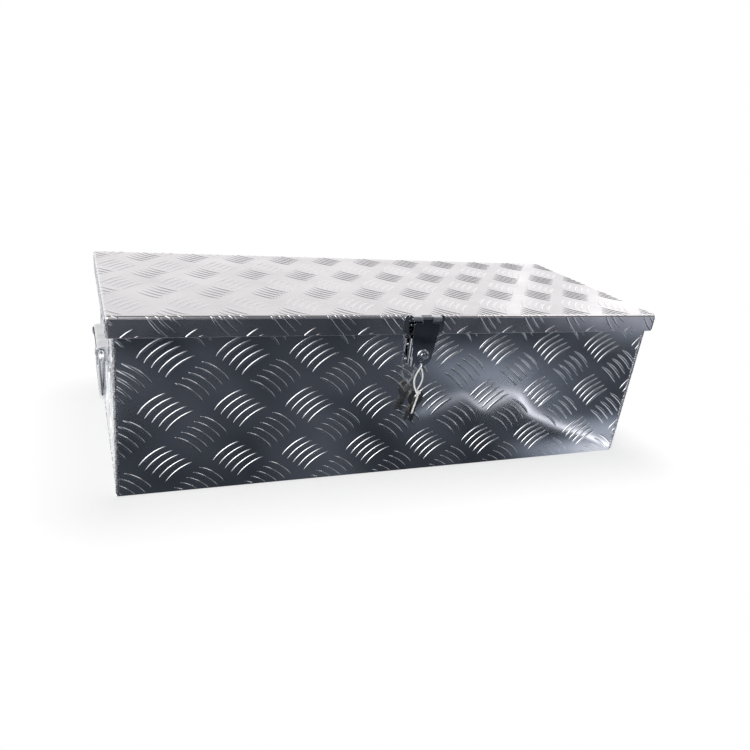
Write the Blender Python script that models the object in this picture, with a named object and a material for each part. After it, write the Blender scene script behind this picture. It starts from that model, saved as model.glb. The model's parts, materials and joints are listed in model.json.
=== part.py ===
"""Folded aluminium tread plate tool box with a hinged lid, a keyed flap latch and drop handles.

Metres, +Z up. The box stands on Z = 0 with its front towards -Y and its length along X.
The origin is on the underside of the floor, below the middle of the lid.
"""

import math

import bmesh
import bpy
from mathutils import Vector

# Overall sizes
LID_WIDTH = 0.762
LID_DEPTH = 0.305
OVERALL_HEIGHT = 0.230
TREAD_HEIGHT = 0.001
LIP_HEIGHT = 0.025
BODY_WIDTH = 0.746
FRONT_OVERHANG = 0.0075

# Sheet and fits
SHEET = 0.0015
BEND_RADIUS = 0.003
RIM_FLANGE = 0.0135
FIT_GAP = 0.0003

# Lid seal
GASKET_HEIGHT = 0.004
GASKET_WIDTH = 0.009

# Continuous rear hinge
HINGE_LENGTH = 0.730
KNUCKLE_COUNT = 25
LEAF_SHEET = 0.0012
LEAF_HEIGHT = 0.0205
HINGE_BORE = 0.00135
HINGE_PIN_RADIUS = 0.00115
HINGE_DROP = 0.0004

# Slotted lid stays
STAY_REACH = 0.0995
STAY_RISE = 0.010
STAY_POST_ANGLE = math.radians(25)
STAY_WIDTH = 0.016
STAY_SHEET = 0.002
STAY_X = 0.3535
SLOT_RADIUS = 0.0036
STAY_POST_RADIUS = 0.0032
STAY_HOLE = 0.0027

# Flap latch on the front lip
LATCH_BASE_WIDTH = 0.056
LATCH_BASE_CORNER = 0.004
LATCH_WIDTH = 0.040
KNUCKLE_WIDTH = 0.014
LATCH_BARREL = 0.0035
LATCH_PIN_RADIUS = 0.0015
LATCH_STANDOFF = 0.0063
FLAP_SHEET = 0.002
FLAP_WIDTH = 0.036
FLAP_TOP = 0.2218
FLAP_SHOULDER = 0.212
FLAP_NOSE_Z = 0.1775
FLAP_NOSE_RADIUS = 0.0135
LOCK_Z = 0.179
KEEPER_LOW = 0.161
KEEPER_HIGH = 0.197
KEEPER_SHEET = 0.002
KEEPER_HALF_FACE = 0.0107
KEEPER_HALF_WIDTH = 0.0198
KEEPER_NOTCH = 0.006

# Keys on a nylon tie
TIE_RADIUS = 0.0009
TIE_EYE_Z = 0.167
TIE_EYE_RADIUS = 0.0016
TIE_HALF_HEIGHT = 0.0215
TIE_HALF_WIDTH = 0.0075
TIE_HALF_DEPTH = 0.0030
TAIL_LENGTH = 0.030
TAIL_LEAN = 0.006
TAIL_WIDTH = 0.0023
KEY_SHEET = 0.0016
KEY_HOLE = 0.0028
KEY_DROP = 0.0011
KEY_TILTS = (4, 17)

# Drop handles on the ends
HANDLE_PIVOT_Z = 0.148
HANDLE_STANDOFF = 0.0088
HANDLE_BAR = 0.0042
HANDLE_LEG_Y = 0.050
HANDLE_DROP = 0.058
HANDLE_PLATE_DOWN = 0.026
HANDLE_PLATE_UP = 0.024
EAR_Y = 0.041
EAR_WIDTH = 0.009
LUG_RADIUS = 0.0075
HOOD_UNDERSIDE = 0.0052
HOOD_RISE = 0.0090

# Places that follow from those sizes
LID_TOP = OVERALL_HEIGHT - TREAD_HEIGHT
LIP_BOTTOM = LID_TOP - LIP_HEIGHT
LID_UNDERSIDE = LID_TOP - SHEET
LIP_FRONT = -LID_DEPTH / 2
FRONT_Y = LIP_FRONT + FRONT_OVERHANG
BACK_Y = LID_DEPTH / 2 - SHEET - 2 * FIT_GAP - LEAF_SHEET
RIM_TOP = LID_UNDERSIDE - 2 * FIT_GAP - GASKET_HEIGHT
END_X = BODY_WIDTH / 2
HINGE_BARREL = HINGE_BORE + LEAF_SHEET
HINGE_Y = BACK_Y + FIT_GAP + HINGE_BARREL
HINGE_Z = LIP_BOTTOM - HINGE_DROP - HINGE_BARREL
STAY_RADIUS = math.hypot(STAY_REACH, STAY_RISE)
STAY_PIVOT = Vector((HINGE_Y - STAY_REACH, HINGE_Z + STAY_RISE))
STAY_POST = Vector((HINGE_Y, HINGE_Z)) - STAY_RADIUS * Vector(
    (math.cos(STAY_POST_ANGLE), math.sin(STAY_POST_ANGLE))
)
LATCH_Y = LIP_FRONT - LATCH_STANDOFF
LATCH_Z = OVERALL_HEIGHT - LATCH_BARREL
FLAP_FRONT = LATCH_Y - LATCH_BARREL
FLAP_BACK = FLAP_FRONT + FLAP_SHEET
FLAP_MIDDLE = FLAP_FRONT + FLAP_SHEET / 2
KEEPER_FRONT = FLAP_BACK + 0.0038
CAM_FRONT = KEEPER_FRONT + 0.003
KEY_PIVOT_Z = TIE_EYE_Z - 2 * TIE_HALF_HEIGHT

# Finishes as base colour, roughness and metallic value
BRIGHT_SHEET = ((0.78, 0.79, 0.81), 0.22, 1.0)
CHROME = ((0.80, 0.81, 0.83), 0.08, 1.0)
ZINC_STEEL = ((0.62, 0.63, 0.65), 0.32, 1.0)
FOAM_RUBBER = ((0.02, 0.02, 0.022), 0.85, 0.0)
WHITE_NYLON = ((0.85, 0.85, 0.83), 0.45, 0.0)
NICKEL_KEY = ((0.55, 0.53, 0.49), 0.28, 1.0)


def clear_scene():
    for obj in list(bpy.data.objects):
        bpy.data.objects.remove(obj, do_unlink=True)


def finish_material(name, finish):
    colour, roughness, metallic = finish
    material = bpy.data.materials.new(name + "_finish")
    material.use_nodes = True
    shader = material.node_tree.nodes["Principled BSDF"]
    shader.inputs["Base Color"].default_value = (*colour, 1.0)
    shader.inputs["Roughness"].default_value = roughness
    shader.inputs["Metallic"].default_value = metallic
    return material


def world_place(pivot):
    place = Vector()
    while pivot:
        place += pivot.location
        pivot = pivot.parent
    return place


def add_pivot(name, place, parent=None):
    """An empty on a joint axis, given by its place in the whole object."""
    pivot = bpy.data.objects.new(name, None)
    pivot.empty_display_size = 0.02
    pivot.location = Vector(place) - world_place(parent)
    pivot.parent = parent
    bpy.context.scene.collection.objects.link(pivot)
    return pivot


def add_object(name, shape, pivot):
    """Turns a shape drawn in the whole object's frame into an object that hangs on its pivot."""
    bmesh.ops.translate(shape, verts=shape.verts, vec=-world_place(pivot))
    bmesh.ops.recalc_face_normals(shape, faces=shape.faces)
    mesh = bpy.data.meshes.new(name)
    shape.to_mesh(mesh)
    shape.free()
    mesh.shade_smooth()
    mesh.set_sharp_from_angle(angle=math.radians(35))
    obj = bpy.data.objects.new(name, mesh)
    obj.parent = pivot
    bpy.context.scene.collection.objects.link(obj)
    return obj


def add_part(name, shape, finish, pivot=None):
    obj = add_object(name, shape, pivot)
    obj.data.materials.append(finish_material(name, finish))
    return obj


def combine(obj, shape, operation, label):
    """Cuts a shape from a part, or joins it on, with a Boolean modifier and a hidden helper."""
    helper = add_object(f"{obj.name}_{label}", shape, obj.parent)
    helper.hide_render = True
    helper.display_type = "WIRE"
    modifier = obj.modifiers.new(label, "BOOLEAN")
    modifier.operation = operation
    modifier.solver = "EXACT"
    modifier.object = helper


def arc(centre, radius, start, end, steps):
    """Points on an arc, angles in degrees from the first axis of the plane."""
    turns = [math.radians(start + (end - start) * i / steps) for i in range(steps + 1)]
    return [(centre[0] + radius * math.cos(a), centre[1] + radius * math.sin(a)) for a in turns]


def circle(centre, radius, steps):
    return arc(centre, radius, 0, 360, steps)[:-1]


def rounded(points, radius, steps=3, closed=False):
    """A polyline with its corners turned into arcs of one radius."""
    points = [Vector(p) for p in points]
    count = len(points)
    path = []
    for i, corner in enumerate(points):
        if not closed and i in (0, count - 1):
            path.append(corner)
            continue
        back = (points[i - 1] - corner).normalized()
        ahead = (points[(i + 1) % count] - corner).normalized()
        half = back.angle(ahead) / 2
        centre = corner + (back + ahead).normalized() * radius / math.sin(half)
        reach = radius / math.tan(half)
        first = corner + back * reach - centre
        last = corner + ahead * reach - centre
        sweep = first.angle_signed(last)
        for step in range(steps + 1):
            turn = -sweep * step / steps
            spoke = (
                first.x * math.cos(turn) - first.y * math.sin(turn),
                first.x * math.sin(turn) + first.y * math.cos(turn),
            )
            path.append(centre + Vector(spoke))
    return path


def sheet_outline(path, thickness):
    """The closed section of a sheet of one thickness whose middle follows an open path."""
    path = [Vector(p) for p in path]
    left = []
    right = []
    for i, point in enumerate(path):
        before = (point - path[i - 1]).normalized() if i else None
        after = (path[i + 1] - point).normalized() if i + 1 < len(path) else None
        before = before or after
        after = after or before
        along = (before + after).normalized()
        across = Vector((-along.y, along.x)) * thickness / 2 / max(along.dot(before), 0.2)
        left.append(point + across)
        right.append(point - across)
    return left + right[::-1]


def to_space(axis, point, height):
    """A point of a flat outline set into space: (y, z) across X, (x, z) across Y, (x, y) across Z."""
    u, v = point
    return {"X": (height, u, v), "Y": (u, height, v), "Z": (u, v, height)}[axis]


def prism(outline, axis, low, high):
    shape = bmesh.new()
    ends = [[shape.verts.new(to_space(axis, p, h)) for p in outline] for h in (low, high)]
    for end in ends:
        shape.faces.new(end)
    count = len(outline)
    for i in range(count):
        j = (i + 1) % count
        shape.faces.new((ends[0][i], ends[0][j], ends[1][j], ends[1][i]))
    return shape


def box(low, high):
    (x0, y0, z0), (x1, y1, z1) = low, high
    return prism([(x0, y0), (x1, y0), (x1, y1), (x0, y1)], "Z", z0, z1)


def add_to(shape, other):
    """Moves another shape's faces into this one."""
    places = {}
    for vert in other.verts:
        places[vert] = shape.verts.new(vert.co)
    for face in other.faces:
        shape.faces.new([places[vert] for vert in face.verts])
    other.free()
    return shape


def ring_loft(rings, closed):
    """Skins equal rings of points, closed end to end or capped at both ends."""
    shape = bmesh.new()
    loops = [[shape.verts.new(p) for p in ring] for ring in rings]
    sides = len(loops[0])
    for i in range(len(loops) if closed else len(loops) - 1):
        here = loops[i]
        there = loops[(i + 1) % len(loops)]
        for j in range(sides):
            k = (j + 1) % sides
            shape.faces.new((here[j], here[k], there[k], there[j]))
    if not closed:
        shape.faces.new(loops[0])
        shape.faces.new(loops[-1])
    return shape


def turned(profile, centre, axis, steps, hollow=False):
    """A turned piece. Its profile lists (radius, place along the axis), and a hollow one closes on itself."""
    rings = []
    for radius, along in profile:
        rings.append([to_space(axis, p, along) for p in circle(centre, radius, steps)])
    return ring_loft(rings, hollow)


def tube(points, radius, sides, closed=False):
    """A round bar along a path, carried on without twist from one end to the other."""
    points = [Vector(p) for p in points]
    count = len(points)
    rings = []
    side = None
    for i, point in enumerate(points):
        before = points[i - 1] if closed or i else point
        after = points[(i + 1) % count] if closed or i + 1 < count else point
        along = (after - before).normalized()
        if side is None:
            side = along.orthogonal()
        side = (side - along * side.dot(along)).normalized()
        other = along.cross(side)
        spokes = circle((0, 0), radius, sides)
        rings.append([point + side * a + other * b for a, b in spokes])
    return ring_loft(rings, closed)


def body_wrap():
    """Front, floor and back folded from one sheet, with a flange turned in along both top edges."""
    half = SHEET / 2
    top = RIM_TOP - half
    front = FRONT_Y + half
    back = BACK_Y - half
    path = [(FRONT_Y + RIM_FLANGE, top), (front, top), (front, half)]
    path += [(back, half), (back, top), (BACK_Y - RIM_FLANGE, top)]
    outline = sheet_outline(rounded(path, BEND_RADIUS - half), SHEET)
    reach = END_X - SHEET - FIT_GAP
    add_part("body_wrap", prism(outline, "X", -reach, reach), BRIGHT_SHEET)


def end_panel(name, side):
    """A flat end welded over the wrap, with its own turned-in flange and open corner reliefs."""
    corners = [(FRONT_Y, RIM_TOP - BEND_RADIUS)]
    corners += arc((FRONT_Y + BEND_RADIUS, BEND_RADIUS), BEND_RADIUS, 180, 270, 3)
    corners += arc((BACK_Y - BEND_RADIUS, BEND_RADIUS), BEND_RADIUS, 270, 360, 3)
    corners += [(BACK_Y, RIM_TOP - BEND_RADIUS)]
    inner, outer = sorted((side * (END_X - SHEET), side * END_X))
    panel = add_part(name, prism(corners, "X", inner, outer), BRIGHT_SHEET)
    middle = side * (END_X - SHEET / 2)
    top = RIM_TOP - SHEET / 2
    path = [(middle, RIM_TOP - 0.02), (middle, top), (side * (END_X - RIM_FLANGE), top)]
    outline = sheet_outline(rounded(path, BEND_RADIUS - SHEET / 2), SHEET)
    first = FRONT_Y + RIM_FLANGE + FIT_GAP
    last = BACK_Y - RIM_FLANGE - FIT_GAP
    combine(panel, prism(outline, "Y", first, last), "UNION", "flange")


def lid_pan(pivot):
    """The lid: one sheet with four turned-down lips, welded at its corners."""
    half_x = LID_WIDTH / 2
    half_y = LID_DEPTH / 2
    shape = box((-half_x, -half_y, LIP_BOTTOM), (half_x, half_y, LID_TOP))
    bmesh.ops.recalc_face_normals(shape, faces=shape.faces)
    floor = [face for face in shape.faces if face.normal.z < -0.5]
    bmesh.ops.delete(shape, geom=floor, context="FACES_ONLY")
    folds = [e for e in shape.edges if max(v.co.z for v in e.verts) > LID_TOP - SHEET]
    bmesh.ops.bevel(shape, geom=folds, offset=0.0025, segments=3, profile=0.5, affect="EDGES")
    lid = add_part("lid_pan", shape, BRIGHT_SHEET, pivot)
    shell = lid.modifiers.new("sheet", "SOLIDIFY")
    shell.thickness = SHEET
    shell.offset = -1
    shell.use_even_offset = True


def lid_gasket(pivot):
    """A foam strip on the lid's underside that closes on the rim all round."""
    inset = RIM_FLANGE / 2
    low = RIM_TOP + FIT_GAP
    high = LID_UNDERSIDE - FIT_GAP
    half = GASKET_WIDTH / 2
    section = [(-half, high), (half, high), (half, low + 0.0015)]
    section += [(half * 0.5, low), (-half * 0.5, low), (-half, low + 0.0015)]
    corners = [(-1, FRONT_Y + inset, -1), (1, FRONT_Y + inset, -1)]
    corners += [(1, BACK_Y - inset, 1), (-1, BACK_Y - inset, 1)]
    rings = []
    for sign_x, y, sign_y in corners:
        x = sign_x * (END_X - inset)
        rings.append([(x + sign_x * out, y + sign_y * out, z) for out, z in section])
    add_part("lid_gasket", ring_loft(rings, True), FOAM_RUBBER, pivot)


def hinge_leaf(name, up, first_knuckle, pivot=None):
    """One leaf of the continuous hinge, rolled round the pin and cut into every second knuckle."""
    roll = HINGE_BORE + LEAF_SHEET / 2
    sheet_y = HINGE_Y - roll
    rolled = arc((HINGE_Y, 0), roll, 180, -125, 9)
    path = [(sheet_y, -HINGE_BARREL - LEAF_HEIGHT)] + rolled
    section = [(y, HINGE_Z - up * z) for y, z in sheet_outline(path, LEAF_SHEET)]
    leaf = prism(section, "X", -HINGE_LENGTH / 2, HINGE_LENGTH / 2)
    obj = add_part(name, leaf, ZINC_STEEL, pivot)
    pitch = HINGE_LENGTH / KNUCKLE_COUNT
    near = HINGE_BARREL + 0.0015
    far = HINGE_BARREL + 0.0008
    z0, z1 = sorted((HINGE_Z - up * near, HINGE_Z + up * far))
    gaps = bmesh.new()
    for i in range(KNUCKLE_COUNT):
        if i % 2 == first_knuckle:
            continue
        left = -HINGE_LENGTH / 2 + i * pitch - FIT_GAP
        right = left + pitch + 2 * FIT_GAP
        left -= 0.002 if i == 0 else 0
        right += 0.002 if i == KNUCKLE_COUNT - 1 else 0
        add_to(gaps, box((left, HINGE_Y - near, z0), (right, HINGE_Y + near, z1)))
    combine(obj, gaps, "DIFFERENCE", "gaps")


def hinge_pin():
    half = HINGE_LENGTH / 2 + 0.001
    profile = [(HINGE_PIN_RADIUS, -half), (HINGE_PIN_RADIUS, half)]
    add_part("hinge_pin", turned(profile, (HINGE_Y, HINGE_Z), "X", 10), ZINC_STEEL)


def stay_post(name, side):
    """A shouldered stud on the end panel that runs in the stay's slot."""
    wall = END_X - SHEET - FIT_GAP
    head = STAY_X - STAY_SHEET / 2 - 0.001
    profile = [(0.007, wall), (0.007, wall - 0.0015), (STAY_POST_RADIUS, wall - 0.0015)]
    profile += [(STAY_POST_RADIUS, head), (0.006, head), (0.006, head - 0.0012), (0.005, head - 0.002)]
    profile = [(radius, side * x) for radius, x in profile]
    add_part(name, turned(profile, STAY_POST, "X", 16), ZINC_STEEL)


def stay_bracket(name, side, pivot):
    """A bent tab under the lid that carries the stay's upper pivot."""
    sheet = 0.0015
    flange_z = LID_UNDERSIDE - FIT_GAP - sheet / 2
    tab_x = STAY_X + 0.0025
    path = [(tab_x - 0.018, flange_z), (tab_x, flange_z), (tab_x, STAY_PIVOT.y - 0.007)]
    outline = [(side * x, z) for x, z in sheet_outline(rounded(path, 0.002), sheet)]
    tab = prism(outline, "Y", STAY_PIVOT.x - 0.010, STAY_PIVOT.x + 0.010)
    bracket = add_part(name, tab, ZINC_STEEL, pivot)
    ends = sorted((side * (tab_x - 0.004), side * (tab_x + 0.004)))
    combine(bracket, prism(circle(STAY_PIVOT, STAY_HOLE, 16), "X", *ends), "DIFFERENCE", "hole")


def stay_rivet(name, side, pivot):
    """The headed rivet that the stay turns on."""
    inner = STAY_X - STAY_SHEET / 2 - 0.0005
    outer = STAY_X + 0.0025 + 0.00075 + FIT_GAP
    shaft = STAY_HOLE - FIT_GAP
    profile = [(0.003, inner - 0.0015), (0.0045, inner - 0.0006), (0.0045, inner), (shaft, inner)]
    profile += [(shaft, outer), (0.0045, outer), (0.0045, outer + 0.0006), (0.003, outer + 0.0012)]
    profile = [(radius, side * x) for radius, x in profile]
    add_part(name, turned(profile, STAY_PIVOT, "X", 14), ZINC_STEEL, pivot)


def lid_stay(name, side, pivot):
    """A slotted strip between lid and end panel. The slot's far end stops the lid upright."""
    along = (STAY_POST - STAY_PIVOT).normalized()
    across = Vector((-along.y, along.x))
    shortest = (STAY_POST - STAY_PIVOT).length
    swing = Vector((STAY_RISE, STAY_REACH)) + Vector((HINGE_Y, HINGE_Z))
    longest = (STAY_POST - swing).length
    half = STAY_WIDTH / 2

    def capsule(first, last, radius):
        local = arc((last, 0), radius, -90, 90, 8) + arc((first, 0), radius, 90, 270, 8)
        return [STAY_PIVOT + along * u + across * v for u, v in local]

    low, high = sorted(side * (STAY_X + s * STAY_SHEET / 2) for s in (-1, 1))
    strip = prism(capsule(0, longest + 0.003, half), "X", low, high)
    stay = add_part(name, strip, ZINC_STEEL, pivot)
    ends = sorted((side * (STAY_X - 0.004), side * (STAY_X + 0.004)))
    slot = prism(capsule(shortest - 0.002, longest, SLOT_RADIUS), "X", *ends)
    combine(stay, slot, "DIFFERENCE", "slot")
    combine(stay, prism(circle(STAY_PIVOT, STAY_HOLE, 16), "X", *ends), "DIFFERENCE", "hole")


def latch_bracket(pivot):
    """The base on the lid's front lip: a plate with round corners and two cast lugs for the flap's pin."""
    back = LIP_FRONT - FIT_GAP
    front = back - SHEET
    low = LIP_BOTTOM + 0.0025
    top = LATCH_Z + LATCH_BARREL
    half_base = LATCH_BASE_WIDTH / 2
    corners = [(-half_base, low), (half_base, low), (half_base, top), (-half_base, top)]
    outline = rounded(corners, LATCH_BASE_CORNER, 4, True)
    bracket = add_part("latch_bracket", prism(outline, "Y", front, back), CHROME, pivot)
    half = LATCH_WIDTH / 2
    middle = front + SHEET / 2
    nose = arc((LATCH_Y, LATCH_Z), LATCH_BARREL, 90, 290, 8)
    lug = [(middle, top)] + nose + [(front, LATCH_Z - 0.006), (middle, LATCH_Z - 0.006)]
    combine(bracket, prism(lug, "X", -half, half), "UNION", "lugs")
    gap = KNUCKLE_WIDTH / 2 + FIT_GAP
    window = box((-gap, LATCH_Y - 0.006, LATCH_Z - 0.008), (gap, front - 0.0002, LATCH_Z + 0.006))
    combine(bracket, window, "DIFFERENCE", "window")
    pin = circle((LATCH_Y, LATCH_Z), LATCH_PIN_RADIUS + FIT_GAP, 12)
    combine(bracket, prism(pin, "X", -half - 0.01, half + 0.01), "DIFFERENCE", "bore")


def latch_pin(pivot):
    half = LATCH_WIDTH / 2 + 0.0005
    rim = LATCH_PIN_RADIUS - 0.0004
    profile = [(rim, -half), (LATCH_PIN_RADIUS, 0.0005 - half)]
    profile += [(LATCH_PIN_RADIUS, half - 0.0005), (rim, half)]
    add_part("latch_pin", turned(profile, (LATCH_Y, LATCH_Z), "X", 12), CHROME, pivot)


def latch_flap(pivot):
    """The tapered flap with a round nose, a rolled middle knuckle, a lock hole and a key eye."""
    half = FLAP_WIDTH / 2
    nose = arc((0, FLAP_NOSE_Z), FLAP_NOSE_RADIUS, -172, -8, 14)
    corners = [(half, FLAP_SHOULDER), (half, FLAP_TOP), (-half, FLAP_TOP), (-half, FLAP_SHOULDER)]
    corners = rounded(corners, 0.002)
    plate = prism(nose + corners, "Y", FLAP_FRONT, FLAP_BACK)
    flap = add_part("latch_flap", plate, CHROME, pivot)
    barrel = arc((LATCH_Y, LATCH_Z), LATCH_BARREL, -60, 180, 10)
    knuckle = barrel + [(FLAP_FRONT, FLAP_TOP - 0.004), (FLAP_BACK, FLAP_TOP - 0.004)]
    half_knuckle = KNUCKLE_WIDTH / 2 - FIT_GAP
    combine(flap, prism(knuckle, "X", -half_knuckle, half_knuckle), "UNION", "knuckle")
    pin = circle((LATCH_Y, LATCH_Z), LATCH_PIN_RADIUS + FIT_GAP, 12)
    combine(flap, prism(pin, "X", -half, half), "DIFFERENCE", "bore")
    reach = (FLAP_FRONT - 0.01, FLAP_BACK + 0.01)
    combine(flap, prism(circle((0, LOCK_Z), 0.0058, 20), "Y", *reach), "DIFFERENCE", "lock_hole")
    combine(flap, prism(circle((0, TIE_EYE_Z), TIE_EYE_RADIUS, 10), "Y", *reach), "DIFFERENCE", "eye")


def lock_body(pivot):
    """The lock's sleeve: a bright collar in front of the flap and a barrel through it."""
    collar = FLAP_FRONT - FIT_GAP
    front = collar - 0.002
    rear = FLAP_BACK + 0.003
    profile = [(0.0043, front), (0.0072, front), (0.0085, collar - 0.001), (0.0085, collar)]
    profile += [(0.0055, collar), (0.0055, rear), (0.0043, rear)]
    add_part("lock_body", turned(profile, (0, LOCK_Z), "Y", 24, True), CHROME, pivot)


def lock_nut(pivot):
    """The hexagon nut that clamps the lock from behind the flap."""
    front = FLAP_BACK + FIT_GAP
    hexagon = prism(circle((0, LOCK_Z), 0.0088, 6), "Y", front, front + 0.0024)
    nut = add_part("lock_nut", hexagon, ZINC_STEEL, pivot)
    hole = prism(circle((0, LOCK_Z), 0.0058, 20), "Y", front - 0.01, front + 0.01)
    combine(nut, hole, "DIFFERENCE", "hole")


def lock_plug(pivot):
    """The turning plug with its keyway, and the stud that carries the cam."""
    front = FLAP_FRONT - FIT_GAP - 0.0024
    rear = FLAP_BACK + 0.0032
    end = CAM_FRONT + 0.0027
    profile = [(0.0034, front), (0.0039, front + 0.0005), (0.0039, rear), (0.0022, rear), (0.0022, end)]
    plug = add_part("lock_plug", turned(profile, (0, LOCK_Z), "Y", 20), CHROME, pivot)
    slot = box((-0.0006, front - 0.005, LOCK_Z - 0.0027), (0.0006, front + 0.003, LOCK_Z + 0.0027))
    combine(plug, slot, "DIFFERENCE", "keyway")


def lock_cam(pivot):
    """The tongue that turns behind the keeper."""
    outline = arc((0, LOCK_Z + 0.005), 0.003, 0, 180, 6) + arc((0, LOCK_Z - 0.005), 0.003, 180, 360, 6)
    cam = add_part("lock_cam", prism(outline, "Y", CAM_FRONT, CAM_FRONT + 0.002), ZINC_STEEL, pivot)
    hole = prism(circle((0, LOCK_Z), 0.0025, 12), "Y", CAM_FRONT - 0.01, CAM_FRONT + 0.01)
    combine(cam, hole, "DIFFERENCE", "hole")


def cam_screw(pivot):
    front = CAM_FRONT + 0.0027 + FIT_GAP
    profile = [(0.0036, front), (0.0036, front + 0.0008), (0.0024, front + 0.0015)]
    add_part("cam_screw", turned(profile, (0, LOCK_Z), "Y", 14), ZINC_STEEL, pivot)


def latch_keeper():
    """A hat-shaped strap on the front panel, notched from the top so that the cam can pass."""
    foot = FRONT_Y - FIT_GAP - KEEPER_SHEET / 2
    face = KEEPER_FRONT + KEEPER_SHEET / 2
    path = [(-KEEPER_HALF_WIDTH, foot), (-KEEPER_HALF_FACE, foot), (-KEEPER_HALF_FACE, face)]
    path += [(KEEPER_HALF_FACE, face), (KEEPER_HALF_FACE, foot), (KEEPER_HALF_WIDTH, foot)]
    outline = sheet_outline(rounded(path, 0.0022), KEEPER_SHEET)
    keeper = add_part("latch_keeper", prism(outline, "Z", KEEPER_LOW, KEEPER_HIGH), CHROME)
    floor = KEEPER_LOW + 0.0065 + KEEPER_NOTCH
    notch = arc((0, floor), KEEPER_NOTCH, 180, 360, 8)
    notch += [(KEEPER_NOTCH, KEEPER_HIGH + 0.01), (-KEEPER_NOTCH, KEEPER_HIGH + 0.01)]
    combine(keeper, prism(notch, "Y", face - 0.005, face + 0.004), "DIFFERENCE", "notch")


def cable_tie(pivot):
    """A nylon tie looped through the flap's eye and the keys, with its head and cut tail in front."""
    middle = TIE_EYE_Z - TIE_HALF_HEIGHT
    count = 44
    loop = []
    for i in range(count):
        even = 2 * math.pi * i / count
        turn = even - 0.4 * math.sin(2 * even)
        depth = math.tanh(6 * math.sin(turn)) / math.tanh(6)
        x = -TIE_HALF_WIDTH * math.sin(turn) ** 3
        loop.append((x, FLAP_MIDDLE - TIE_HALF_DEPTH * depth, middle + TIE_HALF_HEIGHT * math.cos(turn)))
    tie = add_part("cable_tie", tube(loop, TIE_RADIUS, 6, True), WHITE_NYLON, pivot)
    strand = FLAP_MIDDLE - TIE_HALF_DEPTH
    head_z = KEY_PIVOT_Z + 0.0045
    head = box((-0.0020, strand - 0.0022, head_z - 0.0021), (0.0034, strand + 0.0008, head_z + 0.0021))
    combine(tie, head, "UNION", "head")
    tail = [(0, head_z), (TAIL_WIDTH, head_z)]
    tail += [(TAIL_WIDTH - TAIL_LEAN, head_z - TAIL_LENGTH), (-TAIL_LEAN, head_z - TAIL_LENGTH)]
    combine(tie, prism(tail, "Y", strand - 0.0016, strand - 0.0007), "UNION", "tail")


def key(name, order, tilt, pivot):
    """A flat key: a round-cornered bow with its hole, drawn in to a cut blade with a pointed end."""
    hole = -KEY_DROP
    top = hole + 0.0052
    corners = [(-0.0100, top), (-0.0096, top - 0.012), (-0.0036, top - 0.020)]
    corners += [(-x, z) for x, z in reversed(corners)]
    bow = rounded(corners, 0.0035, 3, True)
    shoulder = top - 0.0175
    cuts = [(0.0036, shoulder), (0.0036, shoulder - 0.006), (0.0024, shoulder - 0.0075)]
    cuts += [(0.0034, shoulder - 0.010), (0.0020, shoulder - 0.012), (0.0020, shoulder - 0.014)]
    cuts += [(0.0032, shoulder - 0.0165), (0.0024, shoulder - 0.019), (0.0030, shoulder - 0.022)]
    blade = cuts + [(0.0006, shoulder - 0.0255), (-0.0022, shoulder - 0.023), (-0.0036, shoulder - 0.021)]
    blade += [(-0.0036, shoulder)]
    turn = math.radians(tilt)

    def hang(points):
        cos, sin = math.cos(turn), math.sin(turn)
        return [(x * cos + z * sin, KEY_PIVOT_Z - x * sin + z * cos) for x, z in points]

    front = FLAP_MIDDLE + 0.00015 + (order - 1) * (KEY_SHEET + FIT_GAP)
    back = front + KEY_SHEET
    piece = add_part(name, prism(hang(bow), "Y", front, back), NICKEL_KEY, pivot)
    combine(piece, prism(hang(blade), "Y", front + 0.0001, back - 0.0001), "UNION", "blade")
    eye = prism(hang(circle((0, hole), KEY_HOLE, 14)), "Y", front - 0.01, back + 0.01)
    combine(piece, eye, "DIFFERENCE", "hole")


def handle_plate(name, side):
    """The pressed plate on an end panel: two lugs that hold the bail, under a hood from lug to lug."""
    wall = END_X + FIT_GAP
    face = wall + SHEET
    axle = END_X + HANDLE_STANDOFF
    low = HANDLE_PIVOT_Z - HANDLE_PLATE_DOWN
    high = HANDLE_PIVOT_Z + HANDLE_PLATE_UP
    nose = arc((axle, HANDLE_PIVOT_Z), LUG_RADIUS, -60, 90, 10)
    section = [(wall, low), (face, low), (face, HANDLE_PIVOT_Z - 0.013)] + nose
    section += [(face, HANDLE_PIVOT_Z + HOOD_RISE), (face, high), (wall, high)]
    reach = EAR_Y + EAR_WIDTH / 2
    outline = [(side * x, z) for x, z in section]
    plate = add_part(name, prism(outline, "Y", -reach, reach), CHROME)
    gap = EAR_Y - EAR_WIDTH / 2
    window = sorted((side * (face + 0.0001), side * (axle + 0.02)))
    under_hood = HANDLE_PIVOT_Z + HOOD_UNDERSIDE
    opening = box((window[0], -gap, HANDLE_PIVOT_Z - 0.02), (window[1], gap, under_hood))
    combine(plate, opening, "DIFFERENCE", "window")
    bore = circle((side * axle, HANDLE_PIVOT_Z), HANDLE_BAR + 0.0006, 16)
    combine(plate, prism(bore, "Y", -reach - 0.01, reach + 0.01), "DIFFERENCE", "bore")


def handle_bail(name, side, pivot):
    """A round bar bent to a drop handle, with both ends turned in through the lugs."""
    axle = side * (END_X + HANDLE_STANDOFF)
    inner = EAR_Y - EAR_WIDTH / 2 - 0.002
    low = HANDLE_PIVOT_Z - HANDLE_DROP
    legs = [(-inner, HANDLE_PIVOT_Z), (-HANDLE_LEG_Y - 0.003, HANDLE_PIVOT_Z), (-HANDLE_LEG_Y, low)]
    legs += [(HANDLE_LEG_Y, low), (HANDLE_LEG_Y + 0.003, HANDLE_PIVOT_Z), (inner, HANDLE_PIVOT_Z)]
    path = [(axle, y, z) for y, z in rounded(legs, 0.006, 5)]
    add_part(name, tube(path, HANDLE_BAR, 10), CHROME, pivot)


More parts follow.
